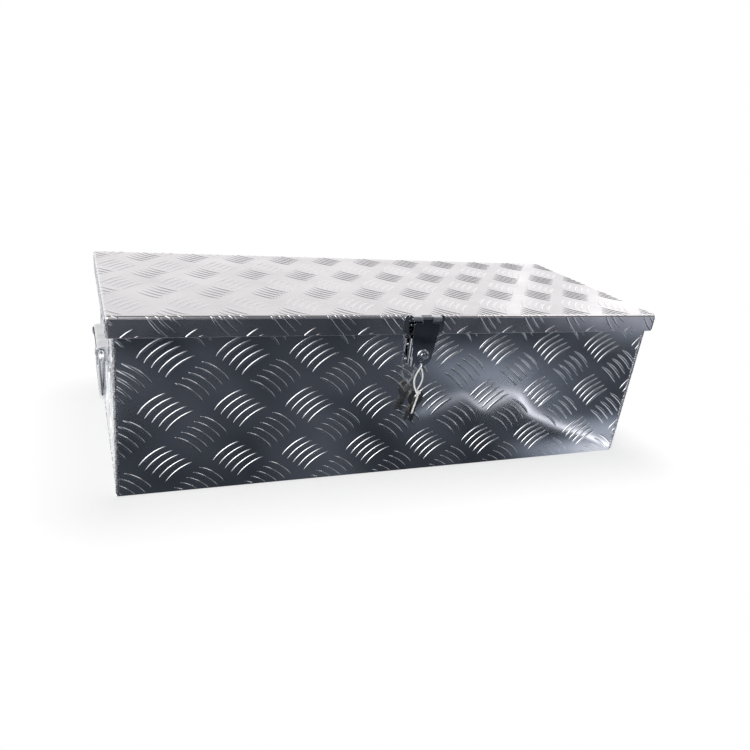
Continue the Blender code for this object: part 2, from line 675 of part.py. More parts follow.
def build():
    clear_scene()
    lid = add_pivot("lid_axis", (0, HINGE_Y, HINGE_Z))
    flap = add_pivot("latch_axis", (0, LATCH_Y, LATCH_Z), lid)
    lock = add_pivot("lock_axis", (0, FLAP_MIDDLE, LOCK_Z), flap)
    tie = add_pivot("tie_axis", (0, FLAP_MIDDLE, TIE_EYE_Z), flap)

    body_wrap()
    hinge_leaf("hinge_body_leaf", -1, 0)
    hinge_leaf("hinge_lid_leaf", 1, 1, lid)
    hinge_pin()
    lid_pan(lid)
    lid_gasket(lid)

    for word, side in (("left", -1), ("right", 1)):
        end_panel(f"{word}_end_panel", side)
        stay_post(f"{word}_stay_post", side)
        stay_bracket(f"{word}_stay_bracket", side, lid)
        stay_rivet(f"{word}_stay_rivet", side, lid)
        pivot = add_pivot(f"{word}_stay_axis", (side * STAY_X, *STAY_PIVOT), lid)
        lid_stay(f"{word}_lid_stay", side, pivot)
        handle_plate(f"{word}_handle_plate", side)
        pivot = add_pivot(f"{word}_handle_axis", (side * (END_X + HANDLE_STANDOFF), 0, HANDLE_PIVOT_Z))
        handle_bail(f"{word}_handle_bail", side, pivot)

    latch_keeper()
    latch_bracket(lid)
    latch_pin(lid)
    latch_flap(flap)
    lock_body(flap)
    lock_nut(flap)
    lock_plug(lock)
    lock_cam(lock)
    cam_screw(lock)
    cable_tie(tie)
    for order, tilt in enumerate(KEY_TILTS):
        pivot = add_pivot(f"key_{order + 1}_axis", (0, FLAP_MIDDLE, KEY_PIVOT_Z), tie)
        key(f"key_{order + 1}", order, tilt, pivot)


build()
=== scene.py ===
import json
import math
from itertools import product

import bmesh
import bpy
from mathutils import Matrix, Vector, noise


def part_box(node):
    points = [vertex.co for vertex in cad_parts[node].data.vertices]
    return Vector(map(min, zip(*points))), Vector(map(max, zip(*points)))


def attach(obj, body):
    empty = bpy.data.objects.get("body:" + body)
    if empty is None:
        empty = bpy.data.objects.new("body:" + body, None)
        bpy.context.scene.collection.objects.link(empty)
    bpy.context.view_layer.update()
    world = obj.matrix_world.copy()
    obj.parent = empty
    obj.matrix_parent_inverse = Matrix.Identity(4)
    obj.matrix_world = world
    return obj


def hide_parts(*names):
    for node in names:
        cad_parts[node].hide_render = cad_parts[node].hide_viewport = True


# Sizes are in metres, in the frame that the box was modelled in: front towards -Y, top towards +Z.
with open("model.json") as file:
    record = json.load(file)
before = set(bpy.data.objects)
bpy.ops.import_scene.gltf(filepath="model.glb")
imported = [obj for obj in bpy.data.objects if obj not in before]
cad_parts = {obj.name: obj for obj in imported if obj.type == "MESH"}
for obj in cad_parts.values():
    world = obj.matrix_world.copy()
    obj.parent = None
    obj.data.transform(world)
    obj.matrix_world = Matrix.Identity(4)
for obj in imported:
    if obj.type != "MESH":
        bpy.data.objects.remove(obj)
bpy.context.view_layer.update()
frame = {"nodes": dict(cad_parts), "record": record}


# Body sheet: front, floor and back are one bright aluminium tread plate, rolled with raised bars
# in groups of five that change direction from group to group, then folded and turned in at the rim.
# The bars are pressed out of the sheet, so they are closed lens shapes sunk slightly into it.
BAR_HALF_LENGTH = 0.0212
BAR_HALF_WIDTH = 0.0021
BAR_HEIGHT = 0.00092
BAR_BOW = 0.0030
BAR_SINK = 0.00012
BAR_STATIONS = 11
BAR_SECTION = ((-1.0, 0.0), (-0.82, 0.72), (-0.60, 0.97), (0.60, 0.97), (0.82, 0.72), (1.0, 0.0))
BARS_FROM_MIDDLE = (-2, -1, 0, 1, 2)


def join_rings(shape, here, there):
    """A band of faces between two rings with the same number of points."""
    count = len(here)
    for i in range(count):
        j = (i + 1) % count
        shape.faces.new((here[i], here[j], there[j], there[i]))


def tread_bar(centre, chord, bow_side):
    """One raised bar on the flat sheet: x and y along the sheet, z above it, blunt at both tips."""
    along = Vector(chord).normalized()
    across = Vector((-along.y, along.x))
    if across.dot(Vector(bow_side)) < 0:
        across = -across
    centre = Vector(centre)
    shape = bmesh.new()

    def place(t, side, height):
        spot = centre + along * BAR_HALF_LENGTH * t + across * (BAR_BOW * (0.5 - t * t) + side)
        return shape.verts.new((spot.x, spot.y, height))

    rings = []
    for i in range(1, BAR_STATIONS - 1):
        t = -math.cos(math.pi * i / (BAR_STATIONS - 1))
        half_width = BAR_HALF_WIDTH * (1 - abs(t) ** 3) ** 0.65
        rise = BAR_HEIGHT * (1 - t ** 4) ** 0.7
        rings.append([place(t, half_width * k, rise * h if h else -BAR_SINK) for k, h in BAR_SECTION])
    for here, there in zip(rings, rings[1:]):
        join_rings(shape, here, there)
    for tip, ring in ((place(-1, 0, -BAR_SINK), rings[0]), (place(1, 0, -BAR_SINK), rings[-1])):
        for i in range(len(ring)):
            shape.faces.new((tip, ring[i], ring[(i + 1) % len(ring)]))
    return shape


def span(shape, axis):
    """The lowest and the highest place of a shape along one axis."""
    places = [vert.co[axis] for vert in shape.verts]
    return min(places), max(places)


def close_cuts(shape):
    """Closes the openings that cutting left in a bar."""
    edges = [edge for edge in shape.edges if edge.is_boundary]
    if edges:
        bmesh.ops.holes_fill(shape, edges=edges, sides=0)


def cut_across(shape, axis, place, keep=0):
    """Cuts a bar along one line of the sheet. keep says which side stays, 0 for both."""
    low, high = span(shape, axis)
    if keep and (high <= place if keep > 0 else low >= place):
        shape.clear()
        return
    if low >= place or high <= place:
        return
    normal = Vector((0, 0, 0))
    normal[axis] = 1
    spot = normal * place
    geometry = shape.verts[:] + shape.edges[:] + shape.faces[:]
    bmesh.ops.bisect_plane(
        shape, geom=geometry, plane_co=spot, plane_no=normal, clear_inner=keep > 0, clear_outer=keep < 0
    )
    if keep:
        close_cuts(shape)


def cut_window(shape, window):
    """Takes out what lies under a fitting that is fixed flat on the sheet."""
    (low_x, low_y), (high_x, high_y) = window
    if not shape.verts:
        return
    reach_x, reach_y = span(shape, 0), span(shape, 1)
    if reach_x[1] <= low_x or reach_x[0] >= high_x or reach_y[1] <= low_y or reach_y[0] >= high_y:
        return
    for axis, place in ((0, low_x), (0, high_x), (1, low_y), (1, high_y)):
        cut_across(shape, axis, place)
    under = []
    for face in shape.faces:
        spot = face.calc_center_median()
        if low_x < spot.x < high_x and low_y < spot.y < high_y:
            under.append(face)
    bmesh.ops.delete(shape, geom=under, context="FACES")
    close_cuts(shape)


def trim_bar(bar, limits, windows, folds):
    """Cuts a bar at the sheet's edges and fittings, and scores it where the sheet will be folded."""
    (low_x, low_y), (high_x, high_y) = limits
    for axis, place, keep in ((0, low_x, 1), (0, high_x, -1), (1, low_y, 1), (1, high_y, -1)):
        if bar.verts:
            cut_across(bar, axis, place, keep)
    for window in windows:
        cut_window(bar, window)
    for axis, place in folds:
        if bar.verts:
            cut_across(bar, axis, place)


def add_shape(target, source, mapping=lambda *spot: spot):
    """Moves a shape's faces into another one, each point to where the mapping puts it."""
    copies = {vert: target.verts.new(mapping(*vert.co)) for vert in source.verts}
    for face in source.faces:
        target.faces.new([copies[vert] for vert in face.verts])
    source.free()


def finish_mesh(name, shape, crease):
    """A mesh object with its faces turned out and every edge over the crease angle left sharp."""
    bmesh.ops.recalc_face_normals(shape, faces=shape.faces)
    mesh = bpy.data.meshes.new(name)
    shape.to_mesh(mesh)
    shape.free()
    mesh.shade_smooth()
    mesh.set_sharp_from_angle(angle=math.radians(crease))
    piece = bpy.data.objects.new(name, mesh)
    bpy.context.scene.collection.objects.link(piece)
    return piece


def tread_sheet(name, families, limits, windows, mapping, folds=()):
    """Lays every group of five bars that falls on a sheet, trimmed to its edges."""
    sheet = bmesh.new()
    for columns, rows, chord, step, bow_side in families:
        for x, y, i in product(columns, rows, BARS_FROM_MIDDLE):
            bar = tread_bar((x + step[0] * i, y + step[1] * i), chord, bow_side)
            trim_bar(bar, limits, windows, folds)
            add_shape(sheet, bar, mapping)
    return finish_mesh(name, sheet, crease=48)


def columns_between(first, pitch, low, high):
    """Every place between two limits that lies a whole number of pitches from the first one."""
    start = math.ceil((low - first) / pitch)
    end = math.floor((high - first) / pitch)
    return [first + pitch * k for k in range(start, end + 1)]


def finish(name, colour, roughness, metallic=1.0):
    """A new finish with its shader, ready for the nodes that vary it."""
    material = bpy.data.materials.new(name)
    material.use_nodes = True
    tree = material.node_tree
    shader = tree.nodes["Principled BSDF"]
    shader.inputs["Base Color"].default_value = (*colour, 1.0)
    shader.inputs["Roughness"].default_value = roughness
    shader.inputs["Metallic"].default_value = metallic
    return material, tree, shader


def grain(tree, scale, detail=4.0, roughness=0.55, stretch=(1, 1, 1)):
    """Noise in the object's own metres, drawn out along the axis with the smallest stretch."""
    place = tree.nodes.new("ShaderNodeTexCoord")
    drawn_out = tree.nodes.new("ShaderNodeMapping")
    drawn_out.inputs["Scale"].default_value = stretch
    pattern = tree.nodes.new("ShaderNodeTexNoise")
    pattern.inputs["Scale"].default_value = scale
    pattern.inputs["Detail"].default_value = detail
    pattern.inputs["Roughness"].default_value = roughness
    tree.links.new(place.outputs["Object"], drawn_out.inputs["Vector"])
    tree.links.new(drawn_out.outputs["Vector"], pattern.inputs["Vector"])
    return pattern.outputs["Fac"]


def spread(tree, source, low, high, from_low=0.3, from_high=0.7):
    """Turns a pattern into values between low and high."""
    node = tree.nodes.new("ShaderNodeMapRange")
    node.inputs["From Min"].default_value = from_low
    node.inputs["From Max"].default_value = from_high
    node.inputs["To Min"].default_value = low
    node.inputs["To Max"].default_value = high
    tree.links.new(source, node.inputs["Value"])
    return node.outputs["Result"]


def tint(tree, source, dark, light, from_low=0.3, from_high=0.7):
    """Turns a pattern into colours between dark and light."""
    ramp = tree.nodes.new("ShaderNodeValToRGB")
    ramp.color_ramp.elements[0].position = from_low
    ramp.color_ramp.elements[0].color = (*dark, 1.0)
    ramp.color_ramp.elements[1].position = from_high
    ramp.color_ramp.elements[1].color = (*light, 1.0)
    tree.links.new(source, ramp.inputs["Fac"])
    return ramp.outputs["Color"]


def relief(tree, source, depth, strength=1.0, under=None):
    """Lets a pattern stand out of the surface, on top of a coarser relief if one is given."""
    node = tree.nodes.new("ShaderNodeBump")
    node.inputs["Distance"].default_value = depth
    node.inputs["Strength"].default_value = strength
    tree.links.new(source, node.inputs["Height"])
    if under is not None:
        tree.links.new(under, node.inputs["Normal"])
    return node.outputs["Normal"]


SMUDGE_TONE = 0.91
STREAK_DEPTH = 0.000006


def plate_finish(name, rolling, dent_depth, smooth, dull, clean=(0.925, 0.93, 0.938)):
    """Bright rolled aluminium: fine streaks along the rolling, smudges, and the sheet's slow waves."""
    material, tree, shader = finish(name, clean, smooth)
    smudged = [SMUDGE_TONE * part for part in clean]
    smudges = grain(tree, scale=14, detail=5)
    streaks = grain(tree, scale=900, detail=3, stretch=rolling)
    waves = grain(tree, scale=7.5, detail=1, roughness=0.4)
    tree.links.new(tint(tree, smudges, smudged, clean), shader.inputs["Base Color"])
    tree.links.new(spread(tree, smudges, dull, smooth), shader.inputs["Roughness"])
    slow = relief(tree, waves, dent_depth)
    tree.links.new(relief(tree, streaks, STREAK_DEPTH, 0.5, slow), shader.inputs["Normal"])
    return material


def bar_finish(name, colour):
    """The bars of a sheet, rubbed brighter on top than the plate between them."""
    material, tree, shader = finish(name, colour, 0.14)
    tree.links.new(spread(tree, grain(tree, scale=60), 0.08, 0.17), shader.inputs["Roughness"])
    return material


nodes = frame["nodes"]


def coat(material, *names):
    """Gives solids of the model a finish as they are."""
    for name in names:
        nodes[name].data.materials.clear()
        nodes[name].data.materials.append(material)


def fasten(piece, body, slot, material, *stands_for):
    """Gives a piece its finish, the body that carries it and the solids that it stands for."""
    piece.data.materials.clear()
    piece.data.materials.append(material)
    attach(piece, body)
    if stands_for:
        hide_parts(*stands_for)


body_plate = plate_finish("front_tread_plate", (0.02, 1, 1), dent_depth=0.0024, smooth=0.10, dull=0.17)
coat(body_plate, "body_wrap")
bar_bright = bar_finish("polished_bar_tops", (0.93, 0.935, 0.945))

# The two ways the bars lean: a bar's chord, the step to the next bar of its group, the side it bows to.
RISING = ((0.0330, 0.0264), (0.0079, -0.0061), (-1, 1))
FALLING = ((0.0320, -0.0250), (0.0075, 0.0065), (1, 1))
RISING_ROWS = (0.1800, 0.1104, 0.0407)
FALLING_ROWS = (0.2173, 0.1475, 0.0773, 0.0075)
FIRST_RISING_X = -0.3176
FIRST_FALLING_X = -0.2741
GROUP_PITCH = 0.0884
GROUP_REACH = 0.03
SHEET_EDGE = 0.3722
FOOT_BEND = 0.0032
BARS_TOP = 0.2185
FITTING_ROOM = 0.0006


def window_round(low, high, level_axis):
    """The stretch of an upright sheet that a fitting covers, with a little room round it."""
    return (
        (low[level_axis] - FITTING_ROOM, low.z - FITTING_ROOM),
        (high[level_axis] + FITTING_ROOM, high.z + FITTING_ROOM),
    )


body_low, body_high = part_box("body_wrap")
front_y = body_low.y
back_y = body_high.y
reach = SHEET_EDGE + GROUP_REACH
front_families = [
    (columns_between(FIRST_RISING_X, GROUP_PITCH, -reach, reach), RISING_ROWS, *RISING),
    (columns_between(FIRST_FALLING_X, GROUP_PITCH, -reach, reach), FALLING_ROWS, *FALLING),
]
keeper_low, keeper_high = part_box("latch_keeper")
front_tread = tread_sheet(
    "front_tread_bars", front_families, ((-SHEET_EDGE, FOOT_BEND), (SHEET_EDGE, BARS_TOP)),
    [window_round(keeper_low, keeper_high, 0)], lambda x, z, rise: (x, front_y - rise, z),
)
fasten(front_tread, "body", "bright_sheet", bar_bright)

MIRROR_HEIGHT = 0.2272
leaf_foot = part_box("hinge_body_leaf")[0].z
back_families = [
    (columns, [MIRROR_HEIGHT - z for z in rows], chord, step, (-bow[0], -bow[1]))
    for columns, rows, chord, step, bow in front_families
]
back_tread = tread_sheet(
    "back_tread_bars", back_families, ((-SHEET_EDGE, FOOT_BEND), (SHEET_EDGE, leaf_foot - FITTING_ROOM)),
    [], lambda x, z, rise: (-x, back_y + rise, z),
)
fasten(back_tread, "body", "bright_sheet", bar_bright)


# End panels: separate sheets of the same plate, set over the ends of the body sheet and welded
# along the corners from outside. Their rolling runs across the box, so the bars stand the same way.
SIDES = (("left", -1), ("right", 1))
END_RISING_Y = -0.101
END_FALLING_Y = -0.0572
END_REACH = 0.18
WELD_ROOM = 0.003
end_plate = plate_finish("end_tread_plate", (1, 0.02, 1), dent_depth=0.0012, smooth=0.13, dull=0.22)
end_families = [
    (columns_between(END_RISING_Y, GROUP_PITCH, -END_REACH, END_REACH), RISING_ROWS, *RISING),
    (columns_between(END_FALLING_Y, GROUP_PITCH, -END_REACH, END_REACH), FALLING_ROWS, *FALLING),
]
for word, side in SIDES:
    coat(end_plate, f"{word}_end_panel")
    panel_low, panel_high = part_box(f"{word}_end_panel")
    outer = panel_low.x if side < 0 else panel_high.x
    edges = ((panel_low.y + WELD_ROOM, FOOT_BEND), (panel_high.y - WELD_ROOM, BARS_TOP))
    end_tread = tread_sheet(
        f"{word}_end_tread_bars", end_families, edges, [window_round(*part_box(f"{word}_handle_plate"), 1)],
        lambda y, z, rise: (outer + side * rise, y, z),
    )
    fasten(end_tread, "body", "bright_sheet", bar_bright)


# Corner welds: hand-laid aluminium beads that close the seams between the end panels and the body
# sheet. Each is a row of overlapping ripples, uneven in width, bright with darker pits.
BEAD_STEP = 0.0007
BEAD_PITCH = 0.0031
BEAD_SIDES = 10
BEAD_RIPPLE = 0.22
BEAD_LUMP = 0.20
LUMPS_PER_METRE = 420
LUMPS_ROUND = 1.3
BEAD_TIP = 0.45
TIP_GROWTH = 200


def skin(rings, closed=False):
    """A surface over a row of rings with the same number of points, capped at open ends."""
    shape = bmesh.new()
    rows = [[shape.verts.new(point) for point in ring] for ring in rings]
    for here, there in zip(rows, rows[1:]):
        join_rings(shape, here, there)
    if closed:
        join_rings(shape, rows[-1], rows[0])
    else:
        shape.faces.new(rows[0])
        shape.faces.new(rows[-1])
    return shape


def spokes(side, other, count):
    """Evenly spaced directions round a circle or an oval."""
    turns = [math.tau * k / count for k in range(count)]
    return [side * math.cos(turn) + other * math.sin(turn) for turn in turns]


def weld_bead(name, start, end, radius):
    """A rippled bead along a straight seam, thinner where it starts and stops."""
    start, end = Vector(start), Vector(end)
    along = (end - start).normalized()
    side = along.orthogonal().normalized()
    other = along.cross(side)
    length = (end - start).length
    count = round(length / BEAD_STEP)
    rings = []
    for i in range(count + 1):
        run = length * i / count
        spot = start + along * run
        ripple = 1 - BEAD_RIPPLE + BEAD_RIPPLE * abs(math.sin(math.pi * run / BEAD_PITCH))
        taper = min(1.0, BEAD_TIP + TIP_GROWTH * min(run, length - run))
        ring = []
        for spoke in spokes(side, other, BEAD_SIDES):
            lump = 1 + BEAD_LUMP * noise.noise(spot * LUMPS_PER_METRE + spoke * LUMPS_ROUND)
            ring.append(spot + spoke * radius * ripple * lump * taper)
        rings.append(ring)
    return finish_mesh(name, skin(rings), crease=50)


def uneven_finish(
    name, scale, detail, dark, light, roughness, metallic=1.0,
    tones=(0.3, 0.7), rough_tones=(0.3, 0.7), pit_depth=0.0,
):
    """A finish whose colour and roughness drift together, as casting, plating and handling leave them."""
    material, tree, shader = finish(name, light, roughness[1], metallic)
    drift = grain(tree, scale, detail)
    tree.links.new(tint(tree, drift, dark, light, *tones), shader.inputs["Base Color"])
    tree.links.new(spread(tree, drift, *roughness, *rough_tones), shader.inputs["Roughness"])
    if pit_depth:
        tree.links.new(relief(tree, drift, pit_depth), shader.inputs["Normal"])
    return material


weld = uneven_finish(
    "weld_metal", scale=620, detail=3, dark=(0.14, 0.145, 0.16), light=(0.88, 0.885, 0.90),
    roughness=(0.55, 0.28), tones=(0.38, 0.54), pit_depth=0.00012,
)
CORNER_BEAD = 0.0026
CORNER_BEAD_FOOT = 0.0036
CORNER_BEAD_TOP = 0.2190
FOOT_BEAD = 0.0016
FOOT_BEAD_Z = 0.0023
FOOT_BEAD_END = 0.004
BEAD_INSET = 0.0007
for word, side in SIDES:
    panel_low, panel_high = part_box(f"{word}_end_panel")
    outer = (panel_low.x if side < 0 else panel_high.x) - side * BEAD_INSET
    for where, y in (("front", panel_low.y + BEAD_INSET), ("back", panel_high.y - BEAD_INSET)):
        foot, top = (outer, y, CORNER_BEAD_FOOT), (outer, y, CORNER_BEAD_TOP)
        bead = weld_bead(f"{word}_{where}_corner_weld", foot, top, CORNER_BEAD)
        fasten(bead, "body", "bright_sheet", weld)
    front_end = (outer, panel_low.y + FOOT_BEAD_END, FOOT_BEAD_Z)
    back_end = (outer, panel_high.y - FOOT_BEAD_END, FOOT_BEAD_Z)
    fasten(weld_bead(f"{word}_foot_weld", front_end, back_end, FOOT_BEAD), "body", "bright_sheet", weld)


# Rear hinge: a continuous hinge of zinc plated steel. One leaf is riveted to the back of the body and
# the other inside the lid's rear lip, so the lid's rivet heads show on the outside of the lip.
zinc = uneven_finish(
    "zinc_plating", scale=120, detail=5, dark=(0.52, 0.53, 0.55), light=(0.68, 0.69, 0.70),
    roughness=(0.42, 0.24),
)
coat(zinc, "hinge_body_leaf", "hinge_lid_leaf", "hinge_pin")

RIVET_PROFILE = ((1.0, 0.0), (0.98, 0.16), (0.80, 0.40), (0.52, 0.54), (0.32, 0.57), (0.25, 0.45))
RIVET_SIDES = 18


def rivet_heads(name, spots, facing, radius):
    """Domed blind rivets set on a sheet, each with the dimple where its stem broke off."""
    facing = Vector(facing)
    side = facing.orthogonal().normalized()
    other = facing.cross(side)
    heads = bmesh.new()
    for spot in spots:
        rings = []
        for share, rise in RIVET_PROFILE:
            centre = Vector(spot) + facing * radius * rise
            rings.append([centre + spoke * radius * share for spoke in spokes(side, other, RIVET_SIDES)])
        add_shape(heads, skin(rings))
    return finish_mesh(name, heads, crease=50)


rivet_metal = uneven_finish(
    "rivet_aluminium", scale=300, detail=4, dark=(0.66, 0.67, 0.68), light=(0.85, 0.855, 0.86),
    roughness=(0.38, 0.22),
)
HINGE_RIVET = 0.0024
HINGE_RIVETS = 12
HINGE_RIVET_STEP = 0.060
LEAF_RIVET_Z = 0.1850
LIP_RIVET_Z = 0.2145
lid_low, lid_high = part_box("lid_pan")
leaf_face = max(vert.co.y for vert in nodes["hinge_body_leaf"].data.vertices if vert.co.z < LEAF_RIVET_Z)
rivet_row = [HINGE_RIVET_STEP * (i - (HINGE_RIVETS - 1) / 2) for i in range(HINGE_RIVETS)]
for where, body, y, z in (
    ("leaf", "body", leaf_face, LEAF_RIVET_Z),
    ("lip", "lid", lid_high.y, LIP_RIVET_Z),
):
    heads = rivet_heads(f"hinge_{where}_rivets", [(x, y, z) for x in rivet_row], (0, 1, 0), HINGE_RIVET)
    fasten(heads, body, "zinc_steel", rivet_metal)


# Lid: one sheet of plate turned down on four sides. The bars were rolled before the folding, so
# the pattern runs on over each fold and down the lip, and is cut where the welded corners meet.
# The lips end in a raw sheared edge, which is rougher than the rolled face and scatters the light.
FOLD_RADIUS = 0.0036
FOLD_STEPS = 6
FOLD_LENGTH = FOLD_RADIUS * math.pi / 2
SHEET = 0.0015
SHEARED_BEVEL = 0.0006
SHEARED_DEPTH = 0.0007


def even_shading(piece):
    """Keeps wide flat faces flat where they run into a fold or a broken edge."""
    shading = piece.modifiers.new("even_shading", "WEIGHTED_NORMAL")
    shading.keep_sharp = True
    shading.weight = 60
    return piece


def settle(piece, crease):
    """Fixes a piece's modifiers into its mesh."""
    graph = bpy.context.evaluated_depsgraph_get()
    mesh = bpy.data.meshes.new_from_object(piece.evaluated_get(graph))
    piece.modifiers.clear()
    piece.data = mesh
    mesh.shade_smooth()
    mesh.set_sharp_from_angle(angle=math.radians(crease))


def add_block(shape, low, high):
    """A plain block between two corners. Gives back its points."""
    place = Matrix.Translation((low + high) / 2) @ Matrix.Diagonal((*(high - low), 1.0))
    return bmesh.ops.create_cube(shape, size=1.0, matrix=place)["verts"]


lid_shape = bmesh.new()
add_block(lid_shape, lid_low, lid_high)
bmesh.ops.recalc_face_normals(lid_shape, faces=lid_shape.faces)
open_side = [face for face in lid_shape.faces if face.normal.z < -0.5]
bmesh.ops.delete(lid_shape, geom=open_side, context="FACES_ONLY")
# The four top edges and the four corners are bent.
folded = [edge for edge in lid_shape.edges if max(vert.co.z for vert in edge.verts) > lid_high.z - SHEET]
bmesh.ops.bevel(lid_shape, geom=folded, offset=FOLD_RADIUS, segments=FOLD_STEPS, profile=0.5, affect="EDGES")
lid_sheet = finish_mesh("lid_sheet", lid_shape, crease=34)
thickness = lid_sheet.modifiers.new("sheet", "SOLIDIFY")
thickness.thickness = SHEET
thickness.offset = -1
thickness.use_even_offset = True
broken_edge = lid_sheet.modifiers.new("broken_edge", "BEVEL")
broken_edge.width = SHEARED_BEVEL
broken_edge.segments = 2
broken_edge.limit_method = "ANGLE"
broken_edge.angle_limit = math.radians(50)
settle(lid_sheet, crease=40)
even_shading(lid_sheet)
# The lid's plate is a little warmer and darker than the body's: a painted tint for the light its top
# mirrors.
lid_plate = plate_finish(
    "lid_tread_plate", (1, 0.02, 1), dent_depth=0.0012, smooth=0.15, dull=0.26, clean=(0.915, 0.885, 0.892)
)
fasten(lid_sheet, "lid", "bright_sheet", lid_plate, "lid_pan")
cut_metal, tree, shader = finish("sheared_edge", (0.90, 0.905, 0.91), 0.5)
tree.links.new(spread(tree, grain(tree, scale=700, detail=3), 0.62, 0.42), shader.inputs["Roughness"])
lid_sheet.data.materials.append(cut_metal)
for face in lid_sheet.data.polygons:
    if face.center.z < lid_low.z + SHEARED_DEPTH:
        face.material_index = 1

LID_BAR_SHARE = 0.62
LIP_BARE_EDGE = 0.0012
PAST_LIP = 0.1
flat_x = lid_high.x - FOLD_RADIUS
flat_y = lid_high.y - FOLD_RADIUS
lip_run = FOLD_LENGTH + (lid_high.z - lid_low.z) - FOLD_RADIUS - LIP_BARE_EDGE


def round_fold(reach, flat, rise):
    """How far out and down a point lands once the lip is turned down, and how upright it stays."""
    beyond = abs(reach) - flat
    if beyond <= 0:
        return abs(reach), 0.0, 1.0
    turn = min(beyond / FOLD_RADIUS, math.pi / 2)
    extra = max(beyond - FOLD_LENGTH, 0.0)
    out = flat + (FOLD_RADIUS + rise) * math.sin(turn)
    drop = FOLD_RADIUS - FOLD_RADIUS * math.cos(turn) + extra
    return out, drop, math.cos(turn)


def on_lid(x, y, rise):
    """Where a point of the flat sheet lands. The lid's bars are rubbed down lower than those of the body."""
    rise *= LID_BAR_SHARE
    out_x, drop_x, upright_x = round_fold(x, flat_x, rise)
    out_y, drop_y, upright_y = round_fold(y, flat_y, rise)
    return (
        math.copysign(out_x, x),
        math.copysign(out_y, y),
        lid_high.z - drop_x - drop_y + rise * upright_x * upright_y,
    )


LID_PITCH = 0.0695
LID_REACH = 0.45
LID_FALLING = ((0.026, -0.031), (0.0059, 0.0075), (-1, -0.5))
LID_FALLING_START = 0.065
LID_FALLING_DEPTHS = (-0.065, 0.025, 0.115, 0.206, 0.300)
LID_RISING = ((-0.026, -0.031), (0.0059, -0.0075), (-1, 0.5))
LID_RISING_START = 0.026
LID_RISING_DEPTHS = (-0.010, 0.078, 0.168, 0.258, 0.348)
lid_families = []
for start, depths, lean in (
    (LID_FALLING_START, LID_FALLING_DEPTHS, LID_FALLING),
    (LID_RISING_START, LID_RISING_DEPTHS, LID_RISING),
):
    columns = columns_between(lid_low.x + start, LID_PITCH, -LID_REACH, LID_REACH)
    lid_families.append((columns, [lid_high.y - depth for depth in depths], *lean))
fold_lines = []
for axis, flat in ((0, flat_x), (1, flat_y)):
    for step in range(FOLD_STEPS + 1):
        place = flat + FOLD_LENGTH * step / FOLD_STEPS
        fold_lines += [(axis, place), (axis, -place)]
corner_windows = []
for sign_x, sign_y in product((-1, 1), (-1, 1)):
    xs = sorted((sign_x * flat_x, sign_x * (flat_x + PAST_LIP)))
    ys = sorted((sign_y * flat_y, sign_y * (flat_y + PAST_LIP)))
    corner_windows.append(tuple(zip(xs, ys)))
FOLD_ROOM = 0.0002
bracket_low, bracket_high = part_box("latch_bracket")
latch_window = (
    (bracket_low.x - FITTING_ROOM, -flat_y - PAST_LIP),
    (bracket_high.x + FITTING_ROOM, -flat_y - FOLD_ROOM),
)
lid_limits = ((-flat_x - lip_run, -flat_y - lip_run), (flat_x + lip_run, flat_y + lip_run))
lid_tread = tread_sheet(
    "lid_tread_bars", lid_families, lid_limits, corner_windows + [latch_window], on_lid, fold_lines
)
# The lid's bars share that warmer painted tint.
fasten(lid_tread, "lid", "bright_sheet", bar_finish("lid_bar_tops", (0.90, 0.875, 0.882)))

LID_BEAD = 0.0017
LID_BEAD_INSET = 0.0016
LID_BEAD_FOOT = 0.001
LID_BEAD_TOP = 0.003
for word, side in SIDES:
    for where, end in (("front", -1), ("back", 1)):
        x = side * (lid_high.x - LID_BEAD_INSET)
        y = end * (lid_high.y - LID_BEAD_INSET)
        foot, top = (x, y, lid_low.z + LID_BEAD_FOOT), (x, y, lid_high.z - LID_BEAD_TOP)
        fasten(weld_bead(f"{word}_{where}_lid_weld", foot, top, LID_BEAD), "lid", "bright_sheet", weld)


# Lid seal: a self-adhesive strip of black closed-cell foam under the lid, laid round in one length
# with turned corners, that closes on the folded rim of the body.
SEAL_STEP = 0.005
SEAL_TURN = 0.007
SEAL_TURN_STEPS = 8
SEAL_HALF = 0.0045
SEAL_WAVER = 0.08
SEAL_WAVES = 60
SEAL_SECTION = (
    (-1.0, 1.0), (1.0, 1.0), (0.97, 0.45), (0.72, 0.12),
    (0.3, 0.0), (-0.3, 0.0), (-0.72, 0.12), (-0.97, 0.45),
)


def round_rectangle(low, high, turn, step):
    """Points and outward directions along a rectangle with turned corners."""
    left, right, front, back = low.x + turn, high.x - turn, low.y + turn, high.y - turn
    centres = [Vector(spot) for spot in ((right, back), (left, back), (left, front), (right, front))]
    path = []
    for i, centre in enumerate(centres):
        for k in range(SEAL_TURN_STEPS + 1):
            angle = math.radians(90 * (i + k / SEAL_TURN_STEPS))
            out = Vector((math.cos(angle), math.sin(angle)))
            path.append((centre + out * turn, out))
        begin, end = path[-1][0], centres[(i + 1) % 4] + out * turn
        count = round((end - begin).length / step)
        path += [(begin.lerp(end, k / count), out) for k in range(1, count)]
    return path


seal_low, seal_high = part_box("lid_gasket")
seal_inset = Vector((SEAL_HALF, SEAL_HALF))
seal_rings = []
for spot, out in round_rectangle(seal_low.xy + seal_inset, seal_high.xy - seal_inset, SEAL_TURN, SEAL_STEP):
    waver = 1 - SEAL_WAVER + SEAL_WAVER * noise.noise(Vector((spot.x, spot.y, 0)) * SEAL_WAVES)
    ring = []
    for across, height in SEAL_SECTION:
        place = spot + out * across * SEAL_HALF * waver
        ring.append((place.x, place.y, seal_low.z + (seal_high.z - seal_low.z) * height))
    seal_rings.append(ring)
foam, tree, shader = finish("black_foam", (0.035, 0.035, 0.037), 0.85, metallic=0.0)
cells = grain(tree, scale=1400, detail=3, roughness=0.6)
tree.links.new(tint(tree, cells, (0.016, 0.016, 0.018), (0.060, 0.060, 0.063)), shader.inputs["Base Color"])
tree.links.new(relief(tree, cells, 0.0004), shader.inputs["Normal"])
